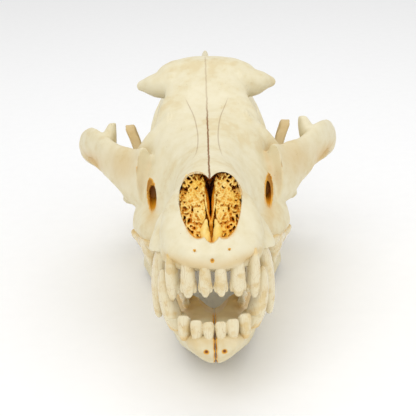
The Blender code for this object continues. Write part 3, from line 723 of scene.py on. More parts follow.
def build_sheet(bm):
    corners = [
        (134, -26), (140, -4), (147, 16), (155, 36), (164, 50), (172, 55), (179, 52), (181, 38),
        (182, 24), (187, 12), (192, 2), (190, -8), (194, -16), (201, -22), (198, -29), (186, -31),
        (168, -28), (148, -30),
    ]
    curve = outline_points(corners)
    ring = bmesh.ops.create_circle(bm, segments=len(curve), radius=1.0)["verts"]
    for vertex, (y, z) in zip(ring, curve):
        vertex.co = Vector((SHEET_X, y, z))
    edges = list({edge for vertex in ring for edge in vertex.link_edges})
    face = bmesh.ops.edgeloop_fill(bm, edges=edges)["faces"]
    bmesh.ops.triangulate(bm, faces=face)
    bmesh.ops.subdivide_edges(bm, edges=bm.edges[:], cuts=2, use_grid_fill=True)
    raised = bmesh.ops.extrude_face_region(bm, geom=bm.faces[:])["geom"]
    top = [v for v in raised if isinstance(v, bmesh.types.BMVert)]
    bmesh.ops.translate(bm, vec=(SHEET_THICK, 0, 0), verts=top)
    for vertex in bm.verts:
        vertex.co.x += sheet_shift(vertex.co.y, vertex.co.z)


# y, low, high, half width low, half width high, squareness, x of the middle
JAW_BODY = [
    (4.5, -26.0, -19.0, 7.0, 11.0, 2.2, 0.0), (9.0, -30.0, -17.0, 7.5, 15.0, 2.1, 0.3),
    (15.0, -33.5, -15.5, 7.5, 17.5, 2.0, 0.5), (23.0, -36.5, -15.0, 8.0, 19.0, 2.0, 1.0),
    (34.0, -39.5, -15.0, 8.0, 18.0, 2.1, 2.5), (46.0, -41.0, -14.5, 8.0, 11.5, 2.4, 7.0),
    (60.0, -41.5, -13.5, 5.6, 5.2, 2.4, 14.3), (80.0, -42.0, -13.5, 5.4, 5.0, 2.4, 17.5),
    (100.0, -42.5, -13.0, 5.6, 5.2, 2.4, 20.8), (120.0, -41.0, -12.0, 5.4, 5.2, 2.4, 24.0),
    (136.0, -36.0, -8.0, 4.8, 4.6, 2.4, 27.0), (152.0, -31.0, 0.0, 4.0, 3.6, 2.4, 30.0),
    (166.0, -28.5, 6.0, 3.6, 3.2, 2.4, 33.5),
]
# x and radius of the hinge roller
ROLLER_RINGS = [(32.0, 2.0), (34.0, 4.0), (40.0, ROLLER), (47.5, ROLLER), (51.0, 3.6), (53.0, 1.8)]


def build_jaw_half():
    bm = bmesh.new()
    build_sheet(bm)
    skin(bm, [section(*row[:6], x=row[6]) for row in smooth_rows(JAW_BODY)])
    places = [lambda c, s, x=x, r=r: Vector((x, HINGE.y + r * c, HINGE.z + r * s)) for x, r in ROLLER_RINGS]
    skin(bm, places, sides=24)
    column(bm, [(7.0, 25.0, -30.0, 2.4, 4.0), (13.0, 23.3, -22.0, 4.7, 6.8), (18.0, 20.9, -12.4, 5.2, 6.7)])
    bar(bm, [(39.5, 176.0, 2.0, 3.5, 10.0), (40.0, 186.0, 6.0, 3.5, 7.0), (41.0, 194.0, 8.0, 4.0, 4.0)])
    bar(bm, [(36.0, 172.0, -22.0, 3.5, 7.0), (38.5, 188.0, -24.5, 3.5, 7.0), (39.0, 200.0, -23.0, 2.8, 4.5)])
    jaw = to_object(bm, "jaw_left")
    grow_together(jaw, 0.5, 6)
    carve(jaw, cutter("dish", lambda b: ball(b, (48.5, 166, 4), (8.5, 17, 24))))
    carve(jaw, cutter("spout", lambda b: ball(b, (0, 56, -5), (10.5, 36, 14.5))))
    return jaw


# x, y, z and reach of the nerve holes in the chin
CHIN_HOLES = ((4.0, 6.5, -25.0, 0.9), (14.5, 36.0, -26.0, 1.1), (20.5, 58.0, -27.0, 1.5))


def chin_hole(x, y, z, hole, wider=1.0):
    """1 in the middle of a nerve hole and 0 around it. The hole is longer along the jaw than across."""
    hole_x, hole_y, hole_z, reach = hole
    return bell(np.hypot(np.hypot(x - hole_x, (y - hole_y) * 0.4), z - hole_z), reach * wider)


def jaw_relief(x, y, z, normals):
    roots = 0.7 * front_roots(x, y, normals, LOWER_INCISORS, 2) * step(z, -30, -23)
    roots += 0.6 * cheek_roots(y, LOWER_CHEEK_TEETH, 0.27, 1.0) * step(z, -27, -18) * facing_out(normals)
    holes = 2.6 * sum(chin_hole(x, y, z, hole) for hole in CHIN_HOLES)
    crack = (1.1 + 0.5 * np.sin(z * 1.7) * np.sin(z * 0.6 + 1)) * bell(x, 0.7) * (1 - step(y, 24, 40))
    return roots - holes - crack


jaw = build_jaw_half()
inflate(jaw, jaw_relief)
uneven(jaw, 12.0, 0.6)
uneven(jaw, 3.5, 0.28)
print("jaw half", triangles(jaw), "triangles")


# %% Halves of the lower jaw, cut along the chin
def half_space(name, low, high):
    bm = bmesh.new()
    bmesh.ops.create_cube(bm, size=1.0)
    low, high = Vector(low), Vector(high)
    for vertex in bm.verts:
        vertex.co = (low + high) / 2 + Vector([v * (b - a) for v, a, b in zip(vertex.co, low, high)])
    return to_object(bm, name)


def copy_of(obj, name):
    copy = obj.copy()
    copy.data = obj.data.copy()
    copy.name = name
    bpy.context.scene.collection.objects.link(copy)
    return copy


def mirror_mesh(mesh):
    mesh.transform(Matrix.Scale(-1, 4, Vector((1, 0, 0))))
    mesh.flip_normals()


carve(jaw, half_space("chin_side", (SEAM / 2, -50, -90), (120, 320, 160)), "INTERSECT")
jaw_right = copy_of(jaw, "jaw_right")
mirror_mesh(jaw_right.data)
thin_out(jaw, MOST_JAW)
thin_out(jaw_right, MOST_JAW)

# %% [markdown]
# A tooth crown is built like the bones: a few swelling columns that overlap, one for each cusp, fused into
# one skin. A front tooth has a tall middle lobe and a small one on each side, which gives the lily shape
# that wolves keep until their teeth wear down.


# %% Tooth crowns
def crown(bm, foot, tip, rows, turn=0.0):
    """A column from foot to tip. Rows give the part of the way, half width across and half length along."""
    foot, tip = Vector(foot), Vector(tip)
    spin = Matrix.Rotation(turn, 3, "Z")
    places = []
    for part, across, along in smooth_rows(rows, 5):
        centre = foot.lerp(tip, part)
        places.append(lambda c, s, o=centre, a=across, l=along: o + spin @ Vector((a * c, l * s, 0)))
    skin(bm, places, sides=20)


# Part of the way from gum to tip, half width across and half length along, as shares of the tooth's own
FRONT_TOOTH = [
    (-0.12, 0.24, 0.36), (0.0, 0.31, 0.46), (0.2, 0.38, 0.50), (0.5, 0.42, 0.42),
    (0.75, 0.35, 0.28), (0.92, 0.24, 0.17), (1.0, 0.11, 0.07),
]
WORN_TOOTH = [
    (-0.2, 0.28, 0.36), (0.0, 0.38, 0.46), (0.3, 0.46, 0.47), (0.6, 0.49, 0.36),
    (0.85, 0.46, 0.22), (0.96, 0.36, 0.14), (1.0, 0.22, 0.08),
]
SIDE_LOBE = [
    (0.0, 0.05, 0.16), (0.35, 0.12, 0.24), (0.66, 0.19, 0.22), (0.82, 0.15, 0.14), (0.88, 0.05, 0.05),
]
POINT = [
    (-0.2, 0.3, 0.35), (0.0, 0.45, 0.47), (0.3, 0.45, 0.47), (0.65, 0.27, 0.29),
    (0.9, 0.1, 0.12), (1.0, 0.03, 0.03),
]
NECK = [(-0.12, 0.25, 0.35), (0.0, 0.42, 0.46), (0.18, 0.5, 0.5), (0.27, 0.40, 0.44)]
# How far a front tooth's tip leans outward, and where its side lobes stand
TIP_LEAN = 0.075
LOBE_ASIDE = 0.17
LOBE_BACK = 0.08
LOBE_SPREAD = 2.1


def front_tooth(bm, x, y, gum, rise, width, depth, lean, back, profile):
    lean = math.radians(lean)
    foot = Vector((x, y, gum))
    tip = foot + Vector((TIP_LEAN * math.sin(lean) * abs(rise), back, rise))
    rows = [(part, across * width, along * depth) for part, across, along in profile]
    crown(bm, foot, tip, rows, lean)
    lobe = [(part, across * width, along * depth) for part, across, along in SIDE_LOBE]
    for side in (-1, 1):
        shift = Matrix.Rotation(lean, 3, "Z") @ Vector((side * LOBE_ASIDE * width, LOBE_BACK * depth, 0))
        crown(bm, foot + shift, tip + shift * LOBE_SPREAD, lobe, lean)


# %% Cheek teeth and fangs
# forward, sideways, height and length of each cusp, as shares of the tooth's own
PEG = [(0.0, 0.0, 1.0, 0.9)]
BLADE = [(-0.08, 0.0, 1.0, 0.62), (-0.36, 0.0, 0.5, 0.34), (0.30, 0.0, 0.62, 0.42)]
GRINDER = [(-0.22, 0.22, 1.0, 0.55), (0.25, 0.22, 0.85, 0.5), (0.0, -0.25, 0.6, 0.6)]
BLADE_FROM = 11
GRINDER_FROM = 10
GRINDER_CUSP_WIDTH = 0.62
CUSP_SWELL = 1.2
# part of the way from gum to tip, and size
FANG_PROFILE = [
    (-0.25, 0.85), (-0.1, 0.95), (0.0, 1.0), (0.25, 0.95), (0.5, 0.82),
    (0.75, 0.63), (0.9, 0.45), (0.97, 0.3), (1.0, 0.13),
]
FANG_BOW = 1.6


def cheek_tooth(bm, row, gum, down):
    x, y, length, width, height, turn = row
    swing = math.radians(turn)
    along = Vector((math.sin(swing), math.cos(swing), 0))
    across = Vector((math.cos(swing), -math.sin(swing), 0))
    middle_foot = Vector((x, y, gum))
    rise = Vector((0, 0, -height if down else height))
    cusps, cusp_width = (BLADE if length > BLADE_FROM else PEG), width
    if width > GRINDER_FROM:
        cusps, cusp_width = GRINDER, width * GRINDER_CUSP_WIDTH
    for forward, sideways, tall, share in cusps:
        foot = middle_foot + along * forward * length + across * sideways * width
        rows = [(part, a * cusp_width, l * length * share * CUSP_SWELL) for part, a, l in POINT]
        crown(bm, foot, foot + rise * tall, rows, -swing)
    crown(bm, middle_foot, middle_foot + rise, [(part, a * width, l * length) for part, a, l in NECK], -swing)


def fang(bm, x, y, gum, tip, length, width, back, out):
    places = []
    for part, size in smooth_rows(FANG_PROFILE, 5):
        bow = max(part, 0.0) ** FANG_BOW
        centre = Vector((x + out * part * (2 - part), y + back * bow, gum + (tip - gum) * part))
        places.append(lambda c, s, o=centre, k=size: o + Vector((width / 2 * k * c, length / 2 * k * s, 0)))
    skin(bm, places, sides=32)


# %% Rows of teeth
def make_teeth(name, build, opened):
    """Fuses the crowns of the left side, mirrors them, and swings lower teeth with the jaw."""
    bm = bmesh.new()
    both_sides(bm, build)
    teeth = to_object(bm, name)
    grow_together(teeth, 0.27, 3)
    thin_out(teeth, MOST_TEETH)
    _, y, z = read(teeth).T
    if opened:
        from_gum = z - LOWER_GUM_EDGE + (LOWER_GUM_EDGE - LOWER_FRONT_GUM) * (1 - step(y, 14, 20))
    else:
        from_gum = gum_rise(y) - z
    store(teeth, "gum", 1 - step(from_gum, -0.5, 1.4))
    if opened:
        teeth.data.transform(OPEN_JAW)
    return teeth


def upper_front(bm):
    for x, y, width, depth, height, lean in UPPER_INCISORS:
        gum = UPPER_GUM + gum_rise(y)
        front_tooth(bm, x, y, gum, -height, width, depth, lean, 2.5, FRONT_TOOTH)
    fang(bm, *UPPER_FANG)


def lower_front(bm):
    for x, y, width, depth, height, lean in LOWER_INCISORS:
        front_tooth(bm, x, y, LOWER_FRONT_GUM, height, width, depth, lean, -2.0, WORN_TOOTH)
    fang(bm, *LOWER_FANG)


def upper_cheek(bm):
    for row in UPPER_CHEEK_TEETH:
        cheek_tooth(bm, row, 0.0, True)


def lower_cheek(bm):
    for row in LOWER_CHEEK_TEETH:
        cheek_tooth(bm, row, LOWER_GUM, False)


teeth = [
    make_teeth("upper_front_teeth", upper_front, False),
    make_teeth("upper_cheek_teeth", upper_cheek, False),
    make_teeth("lower_front_teeth", lower_front, True),
    make_teeth("lower_cheek_teeth", lower_cheek, True),
]

# %% [markdown]
# The nose is filled with scrolls: paper-thin bone that branches from each side wall and warmed the air.
# Seen from the front they look like lace. Each branch is a short thin wall that runs back into the nose; a
# branching rule with a fixed seed lays them out, and the voxel remesh welds them into one spongy piece.

# %% Scrolls inside the nose
SCROLL_SEED = 7
SCROLL_BACK = 46.0
WALL = 0.3


def wall_piece(bm, start, end, front, back, thick):
    """A thin plate from start to end in the x, z plane that runs from front to back."""
    a, b = Vector((start[0], 0, start[1])), Vector((end[0], 0, end[1]))
    side = Vector((-(b - a).z, 0, (b - a).x)).normalized() * thick
    made = bmesh.ops.create_cube(bm, size=1.0)["verts"]
    for vertex in made:
        base = a.lerp(b, vertex.co.x + 0.5)
        vertex.co = base + side * vertex.co.z * 2 + Vector((0, front if vertex.co.y < 0 else back, 0))


def in_nose(x, z):
    """How far inside the opening a point is: under 1 is inside."""
    half = 6.0 + 2.4 * np.clip((z - 12) / 24, 0, 1)
    return abs((x - LOBE_X - 1.2) / half) ** 2.2 + abs((z - NOSE_MIDDLE) / 12.6) ** 2.2


def nose_rim(z):
    """Where the slanting rim of the opening lies at a height."""
    return 8.0 + 26.0 * (z - 12.0) / 25.0


MOST_FORKS = 5
FORK_SHRINK = 0.88


def grow_branch(bm, rng, x, z, heading, length, level):
    for _ in range(2):
        end_x = x + length * math.cos(heading)
        end_z = z + length * math.sin(heading)
        if in_nose(end_x, end_z) > 1.1 or end_x < 2.3:
            return
        front = nose_rim(end_z) + rng.uniform(2, 8)
        wall_piece(bm, (x, z), (end_x, end_z), front, SCROLL_BACK, WALL)
        x, z = end_x, end_z
        heading += rng.uniform(-0.5, 0.5)
    if level < MOST_FORKS:
        spread = rng.uniform(0.55, 0.95)
        grow_branch(bm, rng, x, z, heading + spread, length * FORK_SHRINK, level + 1)
        grow_branch(bm, rng, x, z, heading - spread, length * FORK_SHRINK, level + 1)


def build_scrolls(bm):
    rng = np.random.default_rng(SCROLL_SEED)
    for turn in np.linspace(-0.42, 0.40, 11) * math.pi:
        x = LOBE_X + 1.2 + 7.6 * math.cos(turn)
        z = NOSE_MIDDLE + 12.6 * math.sin(turn)
        grow_branch(bm, rng, x, z, math.pi + turn * 0.8 + rng.uniform(-0.3, 0.3), 1.7, 0)


def build_web(bm):
    """The wall behind the front scrolls, slanted like the rim of the opening."""
    places = []
    for depth, size in ((13.0, 0.96), (15.0, 1.0), (28.0, 1.0)):
        places.append(
            lambda c, s, d=depth, k=size: Vector(
                (
                    LOBE_X + 1.5 + 6.6 * k * c + 1.2 * s,
                    nose_rim(NOSE_MIDDLE + 12.4 * s) + d,
                    NOSE_MIDDLE + 12.4 * k * s,
                )
            )
        )
    skin(bm, places, sides=48)


def make_scrolls():
    bm = bmesh.new()
    both_sides(bm, build_scrolls)
    both_sides(bm, build_web)
    scrolls = to_object(bm, "nose_scrolls")
    grow_together(scrolls, 0.26, 2)
    thin_out(scrolls, MOST_SCROLLS)
    return scrolls


scrolls = make_scrolls()

# %% [markdown]
# Between the scrolls stands the keel, a folded gutter of thin bone, and in front of it two small pointed
# plates rise from the floor of the opening.

# %% Keel of the nose
# x and z along the fold of the gutter, from below
GUTTER = ((0.3, 17.0), (1.2, 21.0), (2.0, 25.0), (2.3, 29.0))
KEEL_BACK = 48.0
FLOOR_PLATE = [
    (2.3, 12.0, 8.6, 1.9, 3.6), (2.6, 12.6, 12.0, 2.2, 3.2), (2.9, 14.0, 15.0, 2.0, 2.4),
    (2.5, 15.5, 17.6, 1.1, 1.6), (2.0, 16.6, 19.6, 0.3, 0.6),
]


def build_keel(bm):
    for (x_low, z_low), (x_high, z_high) in zip(GUTTER, GUTTER[1:]):
        wall_piece(bm, (x_low, z_low), (x_high, z_high), 15.0 + z_low * 0.4, KEEL_BACK, 0.36)
    wall_piece(bm, (0.0, 9.5), (0.3, 17.5), 20.0, KEEL_BACK, 0.5)
    column(bm, FLOOR_PLATE)


def make_keel():
    bm = bmesh.new()
    both_sides(bm, build_keel)
    keel = to_object(bm, "nose_keel")
    grow_together(keel, 0.3, 3)
    uneven(keel, 2.2, 0.35)
    thin_out(keel, MOST_KEEL)
    return keel


keel = make_keel()

# %% [markdown]
# The colours need to know how deep a point lies. Smoothing a copy of a mesh and comparing the two tells
# hollows from ridges, and the result is stored on the points as a named value that the materials read to
# paint shade into hollows, pits and openings.


# %% Hollows, pits and depths as point values, for painted shade
def hollows(obj, passes, reach):
    """0.5 on even ground, more in hollows and less on ridges."""
    smooth = copy_of(obj, "smooth")
    soften = smooth.modifiers.new("soften", "SMOOTH")
    soften.factor = 0.5
    soften.iterations = passes
    bake(smooth)
    lift = ((read(smooth) - read(obj)) * read(obj, "normal")).sum(axis=1)
    bpy.data.objects.remove(smooth, do_unlink=True)
    return 0.5 + lift / reach


# The depth inside the nose, the neck hole and the small nerve holes, which the materials turn into amber and,
# deepest in, into painted umber shade.
def inside_nose(points):
    """0 at the rim of the opening and 1 about two centimetres in."""
    x, y, z = np.abs(points[:, 0]), points[:, 1], points[:, 2]
    up = np.clip((z - NOSE_MIDDLE) / NOSE_HALF_HEIGHT, -1, 1)
    half = 6.4 + 1.7 * (up + 1)
    outer = np.where(x < LOBE_X, 0.0, np.abs((x - LOBE_X) / half) ** NOSE_ROUNDNESS)
    across = outer + np.abs((z - NOSE_MIDDLE) / NOSE_HALF_HEIGHT) ** NOSE_ROUNDNESS
    rim = 5.0 + np.clip((z - 12) / 25, 0, 1) * 30
    trough = (x < 5.5) & (z > 8.5) & (z < 20)
    within = ((across < 1.05) | trough) & (y > 3) & (y < 70)
    nose = np.where(within, np.clip((y - rim) / 24, 0, 1), 0.0)
    nose = np.maximum(nose, 0.75 * bell(np.hypot(x, z - 26), 9) * step(y, 238, 262))
    for hole_x, hole_z, reach in FRONT_HOLES:
        above = z - hole_z - gum_rise(y) * 0.8
        front = (1 - step(y, 8, 12)) * (1 - step(np.abs(above), 1, 3))
        nose = np.maximum(nose, front * bell(np.hypot(x - hole_x, above), reach))
    slot = np.hypot((x - 30.0) / 2.7, (z - 19.5 - 0.27 * (y - 86)) / 7.4)
    in_slot = (slot < 1) & (y < 108)
    return np.maximum(nose, np.where(in_slot, 0.72 * step(y, 76, 98) * step(z, 9, 22), 0.0))


# The materials turn these marks umber; in the chin's nerve holes that is painted shade.
def inside_chin(points):
    """Marks the nerve holes of the chin and the crack between the halves."""
    x, y, z = np.abs(points[:, 0]), points[:, 1], points[:, 2]
    crack = (1.1 + 0.6 * np.sin(z * 1.3)) * bell(x - 0.1, 0.42) * (1 - step(y, 26, 40))
    holes = [1.8 * chin_hole(x, y, z, hole, 1.05) for hole in CHIN_HOLES]
    return np.max([crack, *holes], axis=0)


def mark_bone(obj, inside, passes=24, reach=1.6):
    points = read(obj)
    store(obj, "hollow", hollows(obj, passes, reach))
    store(obj, "pit", hollows(obj, 4, 0.6))
    store(obj, "deep", inside(points))


for piece in (cranium, scrolls, keel):
    mark_bone(piece, inside_nose)
for piece in (jaw, jaw_right):
    mark_bone(piece, inside_chin)
for piece in teeth:
    store(piece, "hollow", hollows(piece, 12, 0.5))
print("hollows stored on", len(teeth) + 5, "pieces")

# %% [markdown]
# Materials share one patch of nodes for the grain of bone: broad blotches where it has yellowed, and tiny
# pores. It reads each object's own coordinates, turned by a Mapping node into the skull frame so that sizes
# are millimetres.


# %% Node helpers
def add_node(tree, kind, settings=None, **inputs):
    node = tree.nodes.new(kind)
    for name, value in (settings or {}).items():
        setattr(node, name, value)
    for name, value in inputs.items():
        socket = node.inputs[name]
        if isinstance(value, bpy.types.NodeSocket):
            tree.links.new(value, socket)
        else:
            socket.default_value = value
    return node


def math_node(tree, operation, first, second=0.0, clamp=False):
    node = tree.nodes.new("ShaderNodeMath")
    node.operation = operation
    node.use_clamp = clamp
    for socket, value in zip(node.inputs, (first, second)):
        if isinstance(value, bpy.types.NodeSocket):
            tree.links.new(value, socket)
        else:
            socket.default_value = value
    return node.outputs[0]


def ramp(tree, value, start, end, low=0.0, high=1.0):
    """The value carried from start..end to low..high and held there."""
    node = add_node(tree, "ShaderNodeMapRange", {"interpolation_type": "SMOOTHSTEP"}, Value=value)
    for name, number in zip(("From Min", "From Max", "To Min", "To Max"), (start, end, low, high)):
        node.inputs[name].default_value = number
    return node.outputs["Result"]


def straight_ramp(tree, value, start, end):
    """The value carried from start..end to 0..1 along a straight line."""
    node = add_node(tree, "ShaderNodeMapRange", Value=value)
    node.inputs["From Min"].default_value = start
    node.inputs["From Max"].default_value = end
    return node.outputs["Result"]


def mix_colour(tree, factor, first, second):
    node = tree.nodes.new("ShaderNodeMix")
    node.data_type = "RGBA"
    for index, value in ((0, factor), (6, first), (7, second)):
        if isinstance(value, bpy.types.NodeSocket):
            tree.links.new(value, node.inputs[index])
        else:
            node.inputs[index].default_value = value if index == 0 else (*value, 1.0)
    return node.outputs[2]


def linear_part(value):
    """A screen value of 0 to 255 as a linear one, by the usual curve with its straight foot."""
    share = value / 255
    return share / 12.92 if value <= 10 else ((share + 0.055) / 1.055) ** 2.4


def linear(red, green, blue):
    """A screen colour as the linear colour that materials use."""
    return tuple(linear_part(value) for value in (red, green, blue))


def attribute(tree, name):
    node = tree.nodes.new("ShaderNodeAttribute")
    node.attribute_name = name
    return node.outputs["Fac"]


def skull_coordinates(tree):
    """Object coordinates as millimetres in the skull frame."""
    mapping = tree.nodes.new("ShaderNodeMapping")
    turn = Matrix.Rotation(SNOUT_UP, 4, "X")
    mapping.inputs["Scale"].default_value = (1 / MM, 1 / MM, 1 / MM)
    mapping.inputs["Rotation"].default_value = (SNOUT_UP, 0, 0)
    mapping.inputs["Location"].default_value = turn @ (-SHIFT / MM)
    source = tree.nodes.new("ShaderNodeTexCoord")
    tree.links.new(source.outputs["Object"], mapping.inputs["Vector"])
    return mapping.outputs["Vector"]


def new_material(name, roughness):
    material = bpy.data.materials.new(name)
    material.use_nodes = True
    shader = material.node_tree.nodes["Principled BSDF"]
    shader.inputs["Roughness"].default_value = roughness
    return material, material.node_tree, shader


def noise_value(tree, vector, scale, detail=3.0, rough=0.55):
    sizes = {"Scale": scale, "Detail": detail, "Roughness": rough}
    return add_node(tree, "ShaderNodeTexNoise", Vector=vector, **sizes).outputs["Fac"]


# %% Shared grain
def make_grain():
    """Blotches, pores and a fine height, from a place in millimetres."""
    tree = bpy.data.node_groups.new("bone_grain", "ShaderNodeTree")
    tree.interface.new_socket("Place", in_out="INPUT", socket_type="NodeSocketVector")
    for name in ("Blotches", "Pores", "Height"):
        tree.interface.new_socket(name, in_out="OUTPUT", socket_type="NodeSocketFloat")
    place = tree.nodes.new("NodeGroupInput").outputs["Place"]
    out = tree.nodes.new("NodeGroupOutput")
    broad = noise_value(tree, place, 0.045, 4.0)
    middle = noise_value(tree, place, 0.22, 3.0)
    middle_share = math_node(tree, "MULTIPLY", middle, 0.35)
    blotches = math_node(tree, "ADD", math_node(tree, "MULTIPLY", broad, 0.65), middle_share)
    cells = add_node(tree, "ShaderNodeTexVoronoi", Vector=place, Scale=0.55)
    where = ramp(tree, noise_value(tree, place, 0.09, 2.0), 0.5, 0.66)
    pores = math_node(tree, "MULTIPLY", ramp(tree, cells.outputs["Distance"], 0.05, 0.16, 1.0, 0.0), where)
    fine = noise_value(tree, place, 1.4, 5.0, 0.6)
    height = math_node(tree, "SUBTRACT", math_node(tree, "MULTIPLY", fine, 0.6), pores)
    tree.links.new(ramp(tree, blotches, 0.36, 0.66), out.inputs["Blotches"])
    tree.links.new(pores, out.inputs["Pores"])
    tree.links.new(height, out.inputs["Height"])
    return tree


GRAIN = make_grain()


def add_grain(tree, place):
    node = tree.nodes.new("ShaderNodeGroup")
    node.node_tree = GRAIN
    tree.links.new(place, node.inputs["Place"])
    return node.outputs


def add_bump(tree, shader, height, distance, strength=1.0):
    bump = add_node(tree, "ShaderNodeBump", Height=height, Distance=distance, Strength=strength)
    tree.links.new(bump.outputs["Normal"], shader.inputs["Normal"])


# %% [markdown]
# Bone is cream where it is proud and handled. Its hollows and pits get painted shade in tan and amber, and
# inside its openings it turns amber and then umber, with painted shade deepest in. Where two bones meet, a
# fine dark seam wanders across; it is drawn by measuring how far a point lies from the seam's line, with
# noise to make it wander.


# %% Bone
CREAM = linear(221, 208, 168)
IVORY = linear(230, 221, 190)
TAN = linear(212, 178, 118)
ROSY_TAN = linear(212, 178, 112)
AMBER = linear(224, 162, 34)
UMBER = linear(126, 58, 4)
HONEY = linear(250, 182, 22)
SEAM_BROWN = linear(138, 90, 36)
# how far out the seams beside the nose bones run: part of their length, share of their width
SIDE_SEAM = ((0.0, 0.50), (0.12, 0.38), (0.6, 0.36), (1.0, 0.72))
SIDE_SEAM_WIDTH = 16.0


def seam_masks(tree, place):
    """1 on the seams of the forehead and nose."""
    parts = add_node(tree, "ShaderNodeSeparateXYZ", Vector=place)
    x, y, z = parts.outputs
    wander = math_node(tree, "SUBTRACT", noise_value(tree, place, 0.30, 3.0), 0.5)
    wander = math_node(tree, "MULTIPLY", wander, 1.1)
    shifted = math_node(tree, "ABSOLUTE", math_node(tree, "ADD", x, wander))
    on_top = ramp(tree, z, 30.0, 36.0)
    midline = math_node(tree, "MULTIPLY", ramp(tree, shifted, 0.22, 0.55, 1.0, 0.0), on_top)
    midline = math_node(tree, "MULTIPLY", midline, ramp(tree, y, 96.0, 128.0, 1.0, 0.3))
    midline = math_node(tree, "MULTIPLY", midline, ramp(tree, y, 150.0, 160.0, 1.0, 0.0))
    bend = add_node(tree, "ShaderNodeFloatCurve", Value=straight_ramp(tree, y, 60.0, 122.0))
    points = bend.mapping.curves[0].points
    for index, (part, width) in enumerate(SIDE_SEAM):
        point = points[index] if index < 2 else points.new(part, width)
        point.location = (part, width)
    bend.mapping.update()
    line = math_node(tree, "MULTIPLY", bend.outputs["Value"], SIDE_SEAM_WIDTH)
    away = math_node(tree, "ABSOLUTE", math_node(tree, "SUBTRACT", math_node(tree, "ABSOLUTE", x), line))
    away = math_node(tree, "ADD", away, math_node(tree, "MULTIPLY", math_node(tree, "ABSOLUTE", wander), 0.3))
    side = math_node(tree, "MULTIPLY", ramp(tree, away, 0.12, 0.45, 0.4, 0.0), on_top)
    side = math_node(tree, "MULTIPLY", side, ramp(tree, y, 56.0, 74.0))
    side = math_node(tree, "MULTIPLY", side, ramp(tree, y, 116.0, 124.0, 1.0, 0.0))
    return math_node(tree, "MAXIMUM", midline, side, clamp=True)


def make_bone():
    material, tree, shader = new_material("old_bone", 0.5)
    place = skull_coordinates(tree)
    grain = add_grain(tree, place)
    hollow = attribute(tree, "hollow")
    colour = mix_colour(tree, grain["Blotches"], IVORY, CREAM)
    # Painted shade: tan in the bone's hollows.
    colour = mix_colour(tree, ramp(tree, hollow, 0.56, 0.95), colour, TAN)
    tint = math_node(tree, "MULTIPLY", ramp(tree, grain["Blotches"], 0.6, 1.0), 0.18)
    colour = mix_colour(tree, tint, colour, TAN)
    # Stains at the gums, and painted shade under the cheek arch.
    colour = mix_colour(tree, math_node(tree, "MULTIPLY", attribute(tree, "stain_and_shade"), 0.85), colour, ROSY_TAN)
    # Painted shade: amber in small pits.
    colour = mix_colour(tree, ramp(tree, attribute(tree, "pit"), 0.58, 0.9, 0.0, 0.5), colour, AMBER)
    colour = mix_colour(tree, math_node(tree, "MULTIPLY", grain["Pores"], 0.5), colour, SEAM_BROWN)
    # Inside the openings the bone turns amber, and umber deeper in, which is painted shade in the nose, the
    # nerve holes and the neck hole; the chin's crack takes the same umber.
    deep = attribute(tree, "deep")
    colour = mix_colour(tree, ramp(tree, deep, 0.02, 0.3), colour, AMBER)
    colour = mix_colour(tree, ramp(tree, deep, 0.4, 0.95), colour, UMBER)
    seams = seam_masks(tree, place)
    colour = mix_colour(tree, seams, colour, SEAM_BROWN)
    tree.links.new(colour, shader.inputs["Base Color"])
    tree.links.new(ramp(tree, grain["Blotches"], 0.0, 1.0, 0.42, 0.58), shader.inputs["Roughness"])
    height = math_node(tree, "SUBTRACT", grain["Height"], math_node(tree, "MULTIPLY", seams, 2.0))
    add_bump(tree, shader, height, 0.00018, 0.7)
    return material


bone = make_bone()

# %% Scrolls, gold deeper in, with painted shade in their creases and depths
SCROLL_PALE = linear(244, 222, 146)
SCROLL_GOLD = linear(238, 194, 78)


def make_scroll_bone():
    material, tree, shader = new_material("scroll_bone", 0.55)
    place = skull_coordinates(tree)
    grain = add_grain(tree, place)
    colour = mix_colour(tree, grain["Blotches"], SCROLL_PALE, SCROLL_GOLD)
    # Painted shade: amber in the scrolls' creases.
    colour = mix_colour(tree, ramp(tree, attribute(tree, "hollow"), 0.42, 0.7), colour, AMBER)
    deep = attribute(tree, "deep")
    # Gold deeper in the nose, then umber where the scrolls lie deepest, which is painted shade.
    colour = mix_colour(tree, ramp(tree, deep, 0.12, 0.5), colour, HONEY)
    colour = mix_colour(tree, ramp(tree, deep, 0.6, 1.0), colour, UMBER)
    tree.links.new(colour, shader.inputs["Base Color"])
    add_bump(tree, shader, grain["Height"], 0.00015, 0.6)
    return material


scroll_bone = make_scroll_bone()

# %% [markdown]
# Enamel is whiter and glossier than bone. It yellows at the gum, its dips get painted shade, and old
# enamel has faint cracks that run from gum to tip.

# %% Enamel
ENAMEL = linear(229, 217, 182)
OLD_ENAMEL = linear(219, 196, 144)
# The colour of the painted shade in the enamel's dips.
ENAMEL_DIP_SHADE = linear(214, 174, 104)
ENAMEL_GUM = linear(222, 184, 104)
ENAMEL_CRACK = linear(180, 140, 84)


